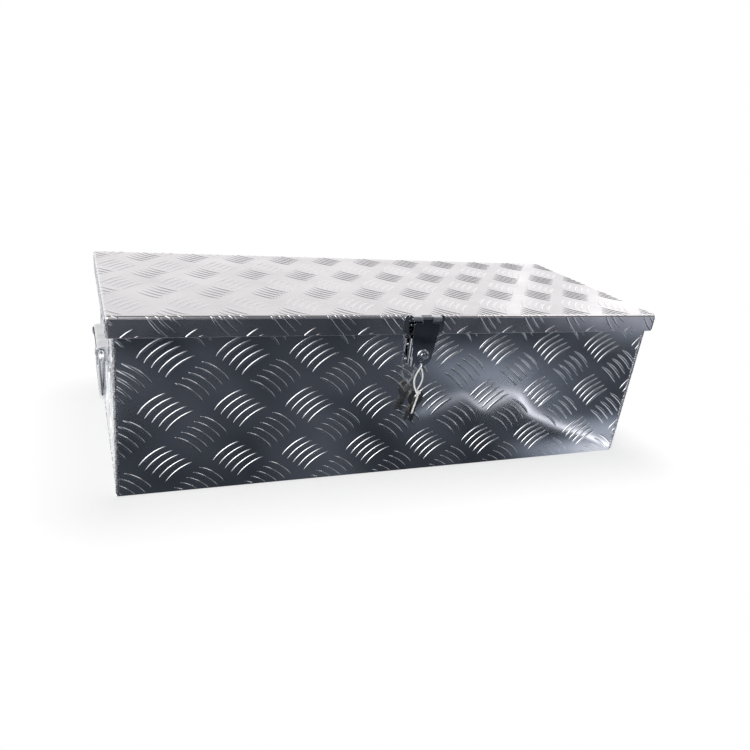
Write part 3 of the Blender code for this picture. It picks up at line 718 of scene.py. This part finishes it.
seal_strip = finish_mesh("foam_seal_strip", skin(seal_rings, closed=True), crease=60)
fasten(seal_strip, "lid", "foam_seal", foam, "lid_gasket")


# Lid stays: flat zinc plated steel bars with a long slot. The slot slides on a post on each end panel
# and the top turns on a rivet in a bracket under the lid.
for word in ("left", "right"):
    coat(zinc, f"{word}_stay_post", f"{word}_stay_bracket", f"{word}_stay_rivet", f"{word}_lid_stay")


# Keeper: a chromed steel strap bent like a hat and riveted to the front, with a notch in its face
# that lets the turned lock cam drop through.
KEEPER_RIVET = 0.0018
KEEPER_RIVET_X = 0.0160
KEEPER_RIVET_INSET = 0.008
KEEPER_FOOT_RISE = 0.0023


def eased(name, node, width, segments=2):
    """A solid with its sharp edges broken, as plated sheet and castings have them."""
    shape = bmesh.new()
    shape.from_mesh(nodes[node].data)
    bmesh.ops.remove_doubles(shape, verts=shape.verts, dist=0.00001)
    bmesh.ops.dissolve_limit(
        shape, angle_limit=math.radians(1), use_dissolve_boundaries=False,
        verts=shape.verts, edges=shape.edges,
    )
    sharp = [e for e in shape.edges if len(e.link_faces) == 2 and e.calc_face_angle() > math.radians(38)]
    bmesh.ops.bevel(
        shape, geom=sharp, offset=width, segments=segments, profile=0.5, affect="EDGES", clamp_overlap=True
    )
    return even_shading(finish_mesh(name, shape, crease=40))


bright_chrome = uneven_finish(
    "polished_chrome", scale=110, detail=4, dark=(0.76, 0.77, 0.79), light=(0.86, 0.87, 0.88),
    roughness=(0.04, 0.15), rough_tones=(0.4, 0.75),
)
fasten(eased("keeper_strap", "latch_keeper", width=0.0004), "body", "chrome", bright_chrome, "latch_keeper")
keeper_spots = [
    (x, front_y - KEEPER_FOOT_RISE, z)
    for x in (-KEEPER_RIVET_X, KEEPER_RIVET_X)
    for z in (keeper_low.z + KEEPER_RIVET_INSET, keeper_high.z - KEEPER_RIVET_INSET)
]
fasten(rivet_heads("keeper_rivets", keeper_spots, (0, -1, 0), KEEPER_RIVET), "body", "chrome", rivet_metal)


# Latch: a base plate on the lid's front lip with two cast lugs, a pin, and the flap that hangs from
# it over the keeper. All of it is die-cast and chromed. The wide flap is painted darker than the rest:
# painted shade for the dark that it mirrors.
BASE_RIVET = 0.0023
BASE_RIVET_X = 0.0105
BASE_RIVET_INSET = 0.006
BASE_RISE = 0.0018
# The flap's chrome is a darker copy of the same plating, as painted shade.
shaded_chrome = uneven_finish(
    "latch_chrome_painted_dark", scale=90, detail=4, dark=(0.36, 0.37, 0.40), light=(0.46, 0.47, 0.50),
    roughness=(0.05, 0.14), rough_tones=(0.4, 0.75),
)
fasten(eased("latch_base", "latch_bracket", width=0.0006), "lid", "chrome", bright_chrome, "latch_bracket")
fasten(eased("latch_hinge_pin", "latch_pin", width=0.0002), "lid", "chrome", bright_chrome, "latch_pin")
flap = eased("latch_flap_plate", "latch_flap", width=0.0008, segments=3)
fasten(flap, "latch_flap", "chrome", shaded_chrome, "latch_flap")
base_spots = [
    (x, lid_low.y - BASE_RISE, bracket_low.z + BASE_RIVET_INSET) for x in (-BASE_RIVET_X, BASE_RIVET_X)
]
fasten(rivet_heads("latch_base_rivets", base_spots, (0, -1, 0), BASE_RIVET), "lid", "chrome", rivet_metal)


# Lock: a turned and polished sleeve with a raised rim, clamped through the flap by a nut, and a plug
# with a keyway that turns the steel cam behind it.
lock_low, lock_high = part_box("lock_body")
lock_length = lock_high.y - lock_low.y
lock_radius = lock_high.x
lock_middle = (lock_low.z + lock_high.z) / 2
LOCK_SIDES = 40
BORE = 0.0043
SLEEVE = 0.0055
COLLAR_DEPTH = 0.0020
lock_profile = (
    (BORE, 0.0007), (0.0047, 0.0001), (0.0053, 0.0), (0.0064, 0.0), (0.0068, 0.0003), (0.0074, 0.0004),
    (0.0081, 0.0009), (lock_radius, 0.0015), (lock_radius, COLLAR_DEPTH), (SLEEVE, COLLAR_DEPTH),
    (SLEEVE, lock_length), (BORE, lock_length),
)
lock_rings = []
for spoke in spokes(Vector((1, 0, 0)), Vector((0, 0, 1)), LOCK_SIDES):
    lock_rings.append([(r * spoke.x, lock_low.y + y, lock_middle + r * spoke.z) for r, y in lock_profile])
lock_sleeve = finish_mesh("lock_sleeve", skin(lock_rings, closed=True), crease=40)
fasten(lock_sleeve, "latch_flap", "chrome", bright_chrome, "lock_body")
fasten(eased("lock_key_plug", "lock_plug", width=0.0002), "lock_plug", "chrome", bright_chrome, "lock_plug")
coat(zinc, "lock_nut", "lock_cam", "cam_screw")


# Key tie: a thin white nylon cable tie looped through the flap's eye and both keys, with its head
# low in front and the loose tail, toothed behind, pointing down.
TIE_HALF_WIDTH = 0.0075
TIE_HALF_DEPTH = 0.0030
TIE_HALF_HEIGHT = 0.0215
TIE_EDGE = 0.0011
TIE_THICK = 0.00065
TIE_POINTS = 96
TIE_SIDES = 10
END_CROWDING = 0.4
STRAND_FLATNESS = 6
pivots = {joint["name"]: Vector(joint["pos_m"]) for joint in frame["record"]["behaviour"]["joints"]}
eye = pivots["tie_swing"]
key_ring = pivots["key_1_swing"]
loop = []
for i in range(TIE_POINTS):
    even = math.tau * i / TIE_POINTS
    turn = even - END_CROWDING * math.sin(2 * even)
    depth = math.tanh(STRAND_FLATNESS * math.sin(turn)) / math.tanh(STRAND_FLATNESS)
    height = eye.z - TIE_HALF_HEIGHT + TIE_HALF_HEIGHT * math.cos(turn)
    loop.append(Vector((-TIE_HALF_WIDTH * math.sin(turn) ** 3, eye.y - TIE_HALF_DEPTH * depth, height)))
tie_rings = []
for i, spot in enumerate(loop):
    along = (loop[(i + 1) % TIE_POINTS] - loop[i - 1]).normalized()
    flat = Vector((along.z, 0, -along.x))
    # Where the strap passes from front to back at the ends of the loop, its edge lies level.
    if flat.length < 0.2:
        flat = Vector((1, 0, 0))
    flat.normalize()
    thick = along.cross(flat)
    tie_rings.append([spot + spoke for spoke in spokes(flat * TIE_EDGE, thick * TIE_THICK, TIE_SIDES)])
tie_shape = skin(tie_rings, closed=True)

HEAD_RISE = 0.0045
HEAD_LOW = Vector((-0.0020, -0.0022, -0.0021))
HEAD_HIGH = Vector((0.0034, 0.0008, 0.0021))
HEAD_ROUND = 0.0006
strand = eye.y - TIE_HALF_DEPTH
head_z = key_ring.z + HEAD_RISE
head_spot = Vector((0, strand, head_z))
head = add_block(tie_shape, head_spot + HEAD_LOW, head_spot + HEAD_HIGH)
head_edges = {edge for vert in head for edge in vert.link_edges}
bmesh.ops.bevel(tie_shape, geom=list(head_edges), offset=HEAD_ROUND, segments=3, profile=0.5, affect="EDGES")

TAIL_LENGTH = 0.030
TAIL_LEAN = 0.006
TAIL_HALF = 0.00115
TAIL_THICK = 0.0009
TAIL_GAP = 0.0007
TAIL_POINT = 0.9
TAIL_TIP = 0.5
TAIL_STEPS = 60
TOOTH = 0.00018
tail_back = strand - TAIL_GAP
tail_front = tail_back - TAIL_THICK
tail_rings = []
for i in range(TAIL_STEPS + 1):
    run = i / TAIL_STEPS
    narrowing = max(run - TAIL_POINT, 0) / (1 - TAIL_POINT)
    half = TAIL_HALF * (1 - (1 - TAIL_TIP) * narrowing)
    left = TAIL_HALF - TAIL_LEAN * run - half
    right = left + 2 * half
    rear = tail_back - TOOTH * (i % 2)
    z = head_z - TAIL_LENGTH * run
    tail_rings.append([(left, tail_front, z), (right, tail_front, z), (right, rear, z), (left, rear, z)])
add_shape(tie_shape, skin(tail_rings))
nylon = uneven_finish(
    "white_nylon", scale=260, detail=4, dark=(0.90, 0.90, 0.88), light=(0.97, 0.97, 0.96),
    roughness=(0.5, 0.34), metallic=0.0,
)
shader = nylon.node_tree.nodes["Principled BSDF"]
shader.inputs["Subsurface Weight"].default_value = 0.12
shader.inputs["Subsurface Radius"].default_value = (0.0012, 0.0011, 0.0010)
fasten(finish_mesh("key_tie_strap", tie_shape, crease=40), "key_tie", "white_nylon", nylon, "cable_tie")


# Keys: two flat stamped keys with round bows that hang on the tie. They are nickel plated, coloured
# a dull brown grey, and the front one is painted darker than the one behind it: painted shade.
KEY_EDGE = 0.00022
for word, light, dark in (
    ("key_1", (0.34, 0.325, 0.30), (0.20, 0.195, 0.19)),
    ("key_2", (0.52, 0.49, 0.44), (0.36, 0.34, 0.31)),
):
    # The front key's darker colour is painted shade on the same nickel as the key behind it.
    key_tone_and_shade = uneven_finish(f"{word}_nickel_and_shade", 420, 5, dark, light, roughness=(0.36, 0.18))
    fasten(eased(f"{word}_blank", word, KEY_EDGE), word, "key_metal", key_tone_and_shade, word)


# Drop handles: a pressed and chromed plate riveted to each end, with two lugs under a hood, and a
# bent round bar that hangs from the lugs.
HANDLE_RIVET = 0.0031
HANDLE_RIVET_Y = 0.028
HANDLE_RIVET_LOW = 0.0062
HANDLE_RIVET_HIGH = 0.0068
BAIL_BAR = 0.0042
BAIL_SIDES = 20
BAIL_BEND = 0.006
BAIL_BEND_STEPS = 8
BAIL_LEG = 0.050
BAIL_SPLAY = 0.003
BAIL_END = 0.0345
BAIL_DROP = 0.058
BAIL_TIP = 0.8
BAIL_CHAMFER = 0.12


def bend_path(points, radius, steps):
    """A path of straight runs with its corners turned to a radius."""
    path = [points[0]]
    for before, corner, after in zip(points, points[1:], points[2:]):
        towards, away = (before - corner).normalized(), (after - corner).normalized()
        half = towards.angle(away) / 2
        centre = corner + (towards + away).normalized() * (radius / math.sin(half))
        start = corner + towards * (radius / math.tan(half)) - centre
        end = corner + away * (radius / math.tan(half)) - centre
        path += [centre + start.slerp(end, i / steps).normalized() * radius for i in range(steps + 1)]
    return path + [points[-1]]


def round_bar(path, radius, sides):
    """A bar along a flat path in the plane across X, chamfered at both ends."""
    across = Vector((1, 0, 0))
    last = len(path) - 1
    rings = []
    for i, spot in enumerate(path):
        along = (path[min(i + 1, last)] - path[max(i - 1, 0)]).normalized()
        stations = [(0.0, 1.0)]
        if i == 0:
            stations = [(0.0, BAIL_TIP), (BAIL_CHAMFER, 1.0)]
        if i == last:
            stations = [(-BAIL_CHAMFER, 1.0), (0.0, BAIL_TIP)]
        for shift, share in stations:
            centre = spot + along * radius * shift
            circle = spokes(across, along.cross(across), sides)
            rings.append([centre + spoke * radius * share for spoke in circle])
    return skin(rings)


satin_chrome = uneven_finish(
    "handled_chrome", scale=70, detail=5, dark=(0.74, 0.75, 0.76), light=(0.86, 0.87, 0.88),
    roughness=(0.30, 0.16),
)
for word, side in SIDES:
    plate_low, plate_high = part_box(f"{word}_handle_plate")
    plate = eased(f"{word}_handle_base", f"{word}_handle_plate", width=0.0005)
    fasten(plate, "body", "chrome", satin_chrome, f"{word}_handle_plate")
    plate_face = (plate_high.x if side < 0 else plate_low.x) + side * SHEET
    heights = (plate_low.z + HANDLE_RIVET_LOW, plate_high.z - HANDLE_RIVET_HIGH)
    spots = [(plate_face, y, z) for y in (-HANDLE_RIVET_Y, HANDLE_RIVET_Y) for z in heights]
    rivets = rivet_heads(f"{word}_handle_rivets", spots, (side, 0, 0), HANDLE_RIVET)
    fasten(rivets, "body", "chrome", rivet_metal)
    axle = pivots[f"{word}_handle_swing"]
    corners = [(-BAIL_END, 0), (-BAIL_LEG - BAIL_SPLAY, 0), (-BAIL_LEG, -BAIL_DROP)]
    corners += [(-y, z) for y, z in reversed(corners)]
    bends = [Vector((axle.x, y, axle.z + z)) for y, z in corners]
    bail_path = bend_path(bends, BAIL_BEND, BAIL_BEND_STEPS)
    bail = finish_mesh(f"{word}_bail_bar", round_bar(bail_path, BAIL_BAR, BAIL_SIDES), crease=40)
    fasten(bail, f"{word}_handle", "chrome", satin_chrome, f"{word}_handle_bail")


# Floor: a pale matt sweep that takes the box's soft shadow close to its foot. Further out it fades
# to white for the camera and for whatever the metal mirrors.
FLOOR_HALF = 6.0
FLOOR_DROP = 0.0004
FOOTPRINT = (0.372, 0.147, 0.0)
SHADOW_REACH = 0.10
SHADOW_VEIL = 0.62
floor_shape = bmesh.new()
bmesh.ops.create_grid(floor_shape, x_segments=8, y_segments=8, size=FLOOR_HALF)
floor = finish_mesh("floor", floor_shape, crease=30)
floor.location.z = -FLOOR_DROP
floor_paint, tree, shader = finish("pale_floor", (0.90, 0.90, 0.90), 0.8, metallic=0.0)
shader.inputs["Specular IOR Level"].default_value = 0.1
from_box = tree.nodes.new("ShaderNodeTexCoord").outputs["Object"]
for operation, operand in (
    ("ABSOLUTE", None),
    ("SUBTRACT", FOOTPRINT),
    ("MAXIMUM", None),
    ("LENGTH", None),
):
    node = tree.nodes.new("ShaderNodeVectorMath")
    node.operation = operation
    if operand is not None:
        node.inputs[1].default_value = operand
    tree.links.new(from_box, node.inputs[0])
    from_box = node.outputs["Value" if operation == "LENGTH" else "Vector"]
fade = spread(tree, from_box, SHADOW_VEIL, 1.0, 0.0, SHADOW_REACH)


def seen_rays(tree, path):
    """One for rays from the camera, and for those that metal or glass sends on."""
    mirrored = tree.nodes.new("ShaderNodeMath")
    mirrored.operation = "ADD"
    tree.links.new(path.outputs["Is Glossy Ray"], mirrored.inputs[0])
    tree.links.new(path.outputs["Is Transmission Ray"], mirrored.inputs[1])
    seen = tree.nodes.new("ShaderNodeMath")
    seen.operation = "ADD"
    tree.links.new(path.outputs["Is Camera Ray"], seen.inputs[0])
    tree.links.new(mirrored.outputs[0], seen.inputs[1])
    return seen.outputs[0]


share = tree.nodes.new("ShaderNodeMath")
share.operation = "MULTIPLY"
share.use_clamp = True
tree.links.new(fade, share.inputs[0])
tree.links.new(seen_rays(tree, tree.nodes.new("ShaderNodeLightPath")), share.inputs[1])
glow = tree.nodes.new("ShaderNodeEmission")
blend = tree.nodes.new("ShaderNodeMixShader")
tree.links.new(share.outputs[0], blend.inputs[0])
tree.links.new(shader.outputs[0], blend.inputs[1])
tree.links.new(glow.outputs[0], blend.inputs[2])
tree.links.new(blend.outputs[0], tree.nodes["Material Output"].inputs["Surface"])
floor.data.materials.append(floor_paint)


# Floor cards: sheets laid on the floor round the box that only the metal mirrors. The one in front is
# dark with a pale bent strip, which gives the front its bright streak. The others are paler.
def card(name, columns, rows, place, shade):
    """A sheet that only reflections show, coloured at each corner of its grid."""
    shape = bmesh.new()
    grid = [[shape.verts.new(place(u, v)) for u in columns] for v in rows]
    for here, there in zip(grid, grid[1:]):
        for i in range(len(columns) - 1):
            shape.faces.new((here[i], here[i + 1], there[i + 1], there[i]))
    sheet = finish_mesh(name, shape, crease=30)
    colours = sheet.data.color_attributes.new("shade", "FLOAT_COLOR", "POINT")
    spots = [(u, v) for v in rows for u in columns]
    for entry, (u, v) in zip(colours.data, spots):
        entry.color = (*shade(u, v), 1.0)
    paint = bpy.data.materials.new(name)
    paint.use_nodes = True
    tree = paint.node_tree
    tree.nodes.clear()
    colour = tree.nodes.new("ShaderNodeVertexColor")
    colour.layer_name = "shade"
    glow = tree.nodes.new("ShaderNodeEmission")
    out = tree.nodes.new("ShaderNodeOutputMaterial")
    tree.links.new(colour.outputs["Color"], glow.inputs["Color"])
    tree.links.new(glow.outputs[0], out.inputs["Surface"])
    sheet.data.materials.append(paint)
    sheet.visible_camera = False
    sheet.visible_diffuse = False
    sheet.visible_transmission = False
    sheet.visible_shadow = False


def stops(low, high, step):
    """Even stops from low to high, about a step apart."""
    count = round((high - low) / step)
    return [low + (high - low) * i / count for i in range(count + 1)]


def ease(value, low, high):
    """Nought below low, one above high, and a smooth rise between."""
    share = min(max((value - low) / (high - low), 0.0), 1.0)
    return share * share * (3 - 2 * share)


def hill(value, middle, width):
    """One at the middle, falling off smoothly on both sides."""
    return math.exp(-((value - middle) / width) ** 2)


FLOOR_LIFT = 0.0002


def on_floor(x, y):
    return (x, y, FLOOR_LIFT)


# Points of the pale strip's middle line, each with its brightness.
PALE_STRIP = (
    (0.115, -0.310, 0.25),
    (0.170, -0.345, 0.55),
    (0.235, -0.375, 0.70),
    (0.245, -0.325, 0.90),
    (0.340, -0.390, 1.45),
    (0.345, -0.380, 1.65),
    (0.325, -0.290, 1.50),
    (0.340, -0.235, 1.35),
    (0.365, -0.200, 1.25),
    (0.385, -0.160, 1.15),
)
STRIP_INNER = 0.0045
STRIP_OUTER = 0.011


def nearest_on_strip(x, y):
    """Distance to the pale strip, positive on its outer side, and how bright the strip is there."""
    best = None
    for (x0, y0, glow0), (x1, y1, glow1) in zip(PALE_STRIP, PALE_STRIP[1:]):
        run = Vector((x1 - x0, y1 - y0))
        off = Vector((x - x0, y - y0))
        share = min(max(off.dot(run) / run.length_squared, 0.0), 1.0)
        gap = off - run * share
        outer = run.x * off.y - run.y * off.x < 0
        if best is None or gap.length < abs(best[0]):
            best = (gap.length if outer else -gap.length, glow0 + (glow1 - glow0) * share)
    return best


def front_shade(x, y):
    """The floor in front: dark, with a pale strip on the right, grey beyond it and paler at the box."""
    blotch = noise.noise(Vector((x * 11, y * 6, 0.5))) + 0.5 * noise.noise(Vector((x * 25, y * 13, 7.5)))
    base = (0.050 - 0.014 * ease(-y, 0.70, 0.74)) * (1 + 0.32 * blotch)
    # Inside the strip it pales towards the box's right front corner.
    dark = base + 0.26 * ease(y, -0.215, -0.155) * ease(x, 0.16, 0.30)
    dark += 0.40 * ease(y, -0.205, -0.150) * ease(x, 0.25, 0.36)
    # Outside it there is a grey pool, a pale corner and a pale stretch far out on the right.
    grey = base + 0.24 * hill(x, 0.36, 0.125) * hill(y, -0.47, 0.13)
    grey += 0.36 * ease(y, -0.29, -0.20) * ease(x, 0.31, 0.37)
    grey += 0.40 * ease(x, 0.68, 1.05) * ease(-y, 0.60, 0.74)
    # A darker band across the card is a painted shadow: mirrored, it darkens the front just under the lid's
    # lip.
    shadow = ease(-y, 0.675, 0.695) * (1 - ease(-y, 0.722, 0.735))
    offset, strength = nearest_on_strip(x, y)
    outer = max(ease(offset, -0.006, 0.008), ease(-y, 0.45, 0.55))
    level = (dark + (grey - dark) * outer) * (1 - 0.55 * shadow)
    level *= 1 + 0.20 * blotch
    level += strength * hill(offset, 0.0, STRIP_INNER if offset < 0 else STRIP_OUTER)
    # Far in front it is paler on the left, and beside the box's left end it is white.
    level += (0.42 - 0.27 * ease(x, -0.3, 0.4) - level) * ease(-y, 1.1, 1.6)
    white = ease(-x, 0.375, 0.40) * (1 - ease(-x, 0.85, 0.95))
    white *= ease(-y, 0.27, 0.31) * (1 - ease(-y, 0.52, 0.62))
    level += (0.95 - level) * white
    warm = min(level / 0.8, 1.0)
    return (level * (0.86 + 0.12 * warm), level, level * (1.28 - 0.20 * warm))


def back_shade(x, y):
    """The floor behind: pale behind the left end, dim behind the rest of the box."""
    pale = (0.92 - 0.34 * ease(y, 0.42, 0.55)) * (1 - 0.55 * ease(-x, 0.50, 0.80))
    level = 0.16 + (pale - 0.16) * (1 - ease(x, -0.36, -0.12))
    return (level, level * 1.03, level * 1.09)


def right_shade(x, y):
    level = 0.70 - 0.54 * ease(x, 0.5, 1.0)
    return (level, level * 1.02, level * 1.06)


def left_shade(x, y):
    level = 0.95 - 0.55 * ease(-x, 0.45, 0.75)
    return (level, level * 1.01, level * 1.03)


front_columns = [-1.6, -1.2] + stops(-1.0, 0.0, 0.02) + stops(0.01, 0.60, 0.005)
front_columns += stops(0.64, 1.2, 0.04) + [1.6, 2.4, 4.0]
front_rows = [-5.0, -2.5, -1.6, -1.4, -1.2, -1.0] + stops(-0.9, -0.76, 0.02) + stops(-0.75, -0.140, 0.005)
card("front_card", front_columns, front_rows, on_floor, front_shade)
back_columns = [-2.2, -1.4] + stops(-0.90, 0.0, 0.03) + [2.2]
back_rows = [0.157] + stops(0.40, 0.60, 0.02) + [1.3]
card("back_card", back_columns, back_rows, on_floor, back_shade)
card("right_card", stops(0.392, 1.0, 0.05) + [2.2], [-0.147, 0.157], on_floor, right_shade)
card("left_card", [-2.2, -1.4] + stops(-0.90, -0.42, 0.03), [-0.140, 0.157], on_floor, left_shade)


# Wall and glow cards: upright sheets that only the metal mirrors. A dim one on the right keeps the
# front dark, a pale wall far behind gives the lid its light, and bright ones high up light the bars.
SIDE_X = 1.5
WALL_CENTRE = Vector((-0.41, -0.90))
WALL_DISTANCE = 4.5
WALL_SKY = 0.86
WALL_TOP = 2.2
GLOW_DISTANCE = 2.6


def on_side(y, z):
    return (SIDE_X, y, z)


def side_shade(y, z):
    level = 0.12 + 0.26 * (1 - ease(z, 0.18, 0.70))
    level += (0.88 - level) * ease(y, -0.15, 0.40)
    return (level, level * 1.02, level * 1.05)


def on_wall(angle, height):
    turn = math.radians(angle)
    out = Vector((math.cos(turn), math.sin(turn)))
    return (*(WALL_CENTRE + WALL_DISTANCE * out), height)


def wall_shade(angle, height):
    """A pale wall, brighter on its right part and in one narrow upright band."""
    bright = max(1 - ease(angle, 47.0, 50.5), hill(angle, 54.0, 0.75))
    level = WALL_SKY + 0.28 * bright * (1 - ease(height, 1.5, WALL_TOP))
    return (level, level, level * 1.01)


def on_dome(azimuth, height):
    turn, lift = math.radians(azimuth), math.radians(height)
    reach = GLOW_DISTANCE * math.cos(lift)
    return (reach * math.cos(turn), reach * math.sin(turn), GLOW_DISTANCE * math.sin(lift))


def left_glow_shade(azimuth, height):
    level = 0.66 + 3.6 * hill(azimuth - height, 178.0, 22.0) * hill(height, 38.0, 17.0)
    return (level, level, level * 1.01)


def right_glow_shade(azimuth, height):
    return (1.2, 1.2, 1.22)


card("side_card", [-2.4] + stops(-0.2, 0.4, 0.05), stops(0.0, 1.1, 0.1), on_side, side_shade)
card("rear_wall", stops(26.0, 57.0, 0.25), stops(0.0, WALL_TOP, 0.1), on_wall, wall_shade)
card("left_glow", stops(174.0, 264.0, 3.0), stops(10.0, 70.0, 2.0), on_dome, left_glow_shade)
card("right_glow", stops(-30.0, 33.0, 3.0), stops(36.0, 60.0, 3.0), on_dome, right_glow_shade)


# Sky and lamp: a sky that is white for the camera, pale low down and dim overhead and towards the
# right front for the metal. One large soft lamp, high on the left, gives the box its shadow.
SKY_STRENGTH = 0.66
SKY_LOW = (1.0, 1.0, 1.0)
SKY_OVERHEAD = (0.135, 0.14, 0.15)
SKY_BETWEEN = ((0.30, (0.82, 0.82, 0.83)), (0.55, (0.66, 0.66, 0.675)), (0.82, (0.33, 0.335, 0.35)))
SKY_DIM_SIDE = (0.125, 0.13, 0.145, 1.0)
DIM_TOWARDS = (0.6, -0.8, 0.0)
world = bpy.data.worlds.new("studio")
bpy.context.scene.world = world
world.use_nodes = True
tree = world.node_tree
sky = tree.nodes["Background"]
path = tree.nodes.new("ShaderNodeLightPath")
strength = spread(tree, seen_rays(tree, path), SKY_STRENGTH, 1.0, 0.0, 1.0)
tree.links.new(strength, sky.inputs["Strength"])
aim = tree.nodes.new("ShaderNodeTexCoord").outputs["Generated"]
parts = tree.nodes.new("ShaderNodeSeparateXYZ")
tree.links.new(aim, parts.inputs[0])
by_height = tint(tree, parts.outputs["Z"], SKY_LOW, SKY_OVERHEAD, 0.08, 0.94)
for position, colour in SKY_BETWEEN:
    by_height.node.color_ramp.elements.new(position).color = (*colour, 1.0)
towards = tree.nodes.new("ShaderNodeVectorMath")
towards.operation = "DOT_PRODUCT"
towards.inputs[1].default_value = DIM_TOWARDS
tree.links.new(aim, towards.inputs[0])
dim_side = tree.nodes.new("ShaderNodeMix")
dim_side.data_type = "RGBA"
dim_side.inputs["B"].default_value = SKY_DIM_SIDE
tree.links.new(spread(tree, towards.outputs["Value"], 0.0, 1.0, 0.35, 0.75), dim_side.inputs["Factor"])
tree.links.new(by_height, dim_side.inputs["A"])
open_sky = tree.nodes.new("ShaderNodeMix")
open_sky.data_type = "RGBA"
open_sky.inputs["B"].default_value = (1.0, 1.0, 1.0, 1.0)
tree.links.new(path.outputs["Is Camera Ray"], open_sky.inputs["Factor"])
tree.links.new(dim_side.outputs["Result"], open_sky.inputs["A"])
tree.links.new(open_sky.outputs["Result"], sky.inputs["Color"])

LAMP_PLACE = Vector((-1.5, -1.6, 1.9))
LAMP_TARGET = Vector((0, 0, 0.1))
soft_box = bpy.data.lights.new("key_lamp", "AREA")
soft_box.shape = "RECTANGLE"
soft_box.size = 1.4
soft_box.size_y = 1.0
soft_box.energy = 44
lamp = bpy.data.objects.new("key_lamp", soft_box)
lamp.location = LAMP_PLACE
lamp.rotation_euler = (LAMP_TARGET - LAMP_PLACE).to_track_quat("-Z", "Y").to_euler()
lamp.visible_glossy = False
bpy.context.scene.collection.objects.link(lamp)


# Camera: above the lid and left of the box's middle, at the height, distance and slight tilt of the
# photograph. Its angles are in degrees: turned right from straight ahead, pointed down, and rolled.
CAMERA_PLACE = (-0.4103, -0.8969, 0.4690)
CAMERA_TURN = 23.89
CAMERA_DOWN = 23.38
CAMERA_ROLL = 6.99
view = bpy.data.cameras.new("camera")
view.lens = 33.2
view.sensor_width = 36.0
view.shift_x = 0.0252
view.shift_y = 0.0327
camera = bpy.data.objects.new("camera", view)
camera.matrix_world = (
    Matrix.Translation(CAMERA_PLACE)
    @ Matrix.Rotation(math.radians(-CAMERA_TURN), 4, "Z")
    @ Matrix.Rotation(math.radians(90 - CAMERA_DOWN), 4, "X")
    @ Matrix.Rotation(math.radians(CAMERA_ROLL), 4, "Z")
)
bpy.context.scene.collection.objects.link(camera)
bpy.context.scene.camera = camera
bpy.context.scene.view_settings.view_transform = "Standard"
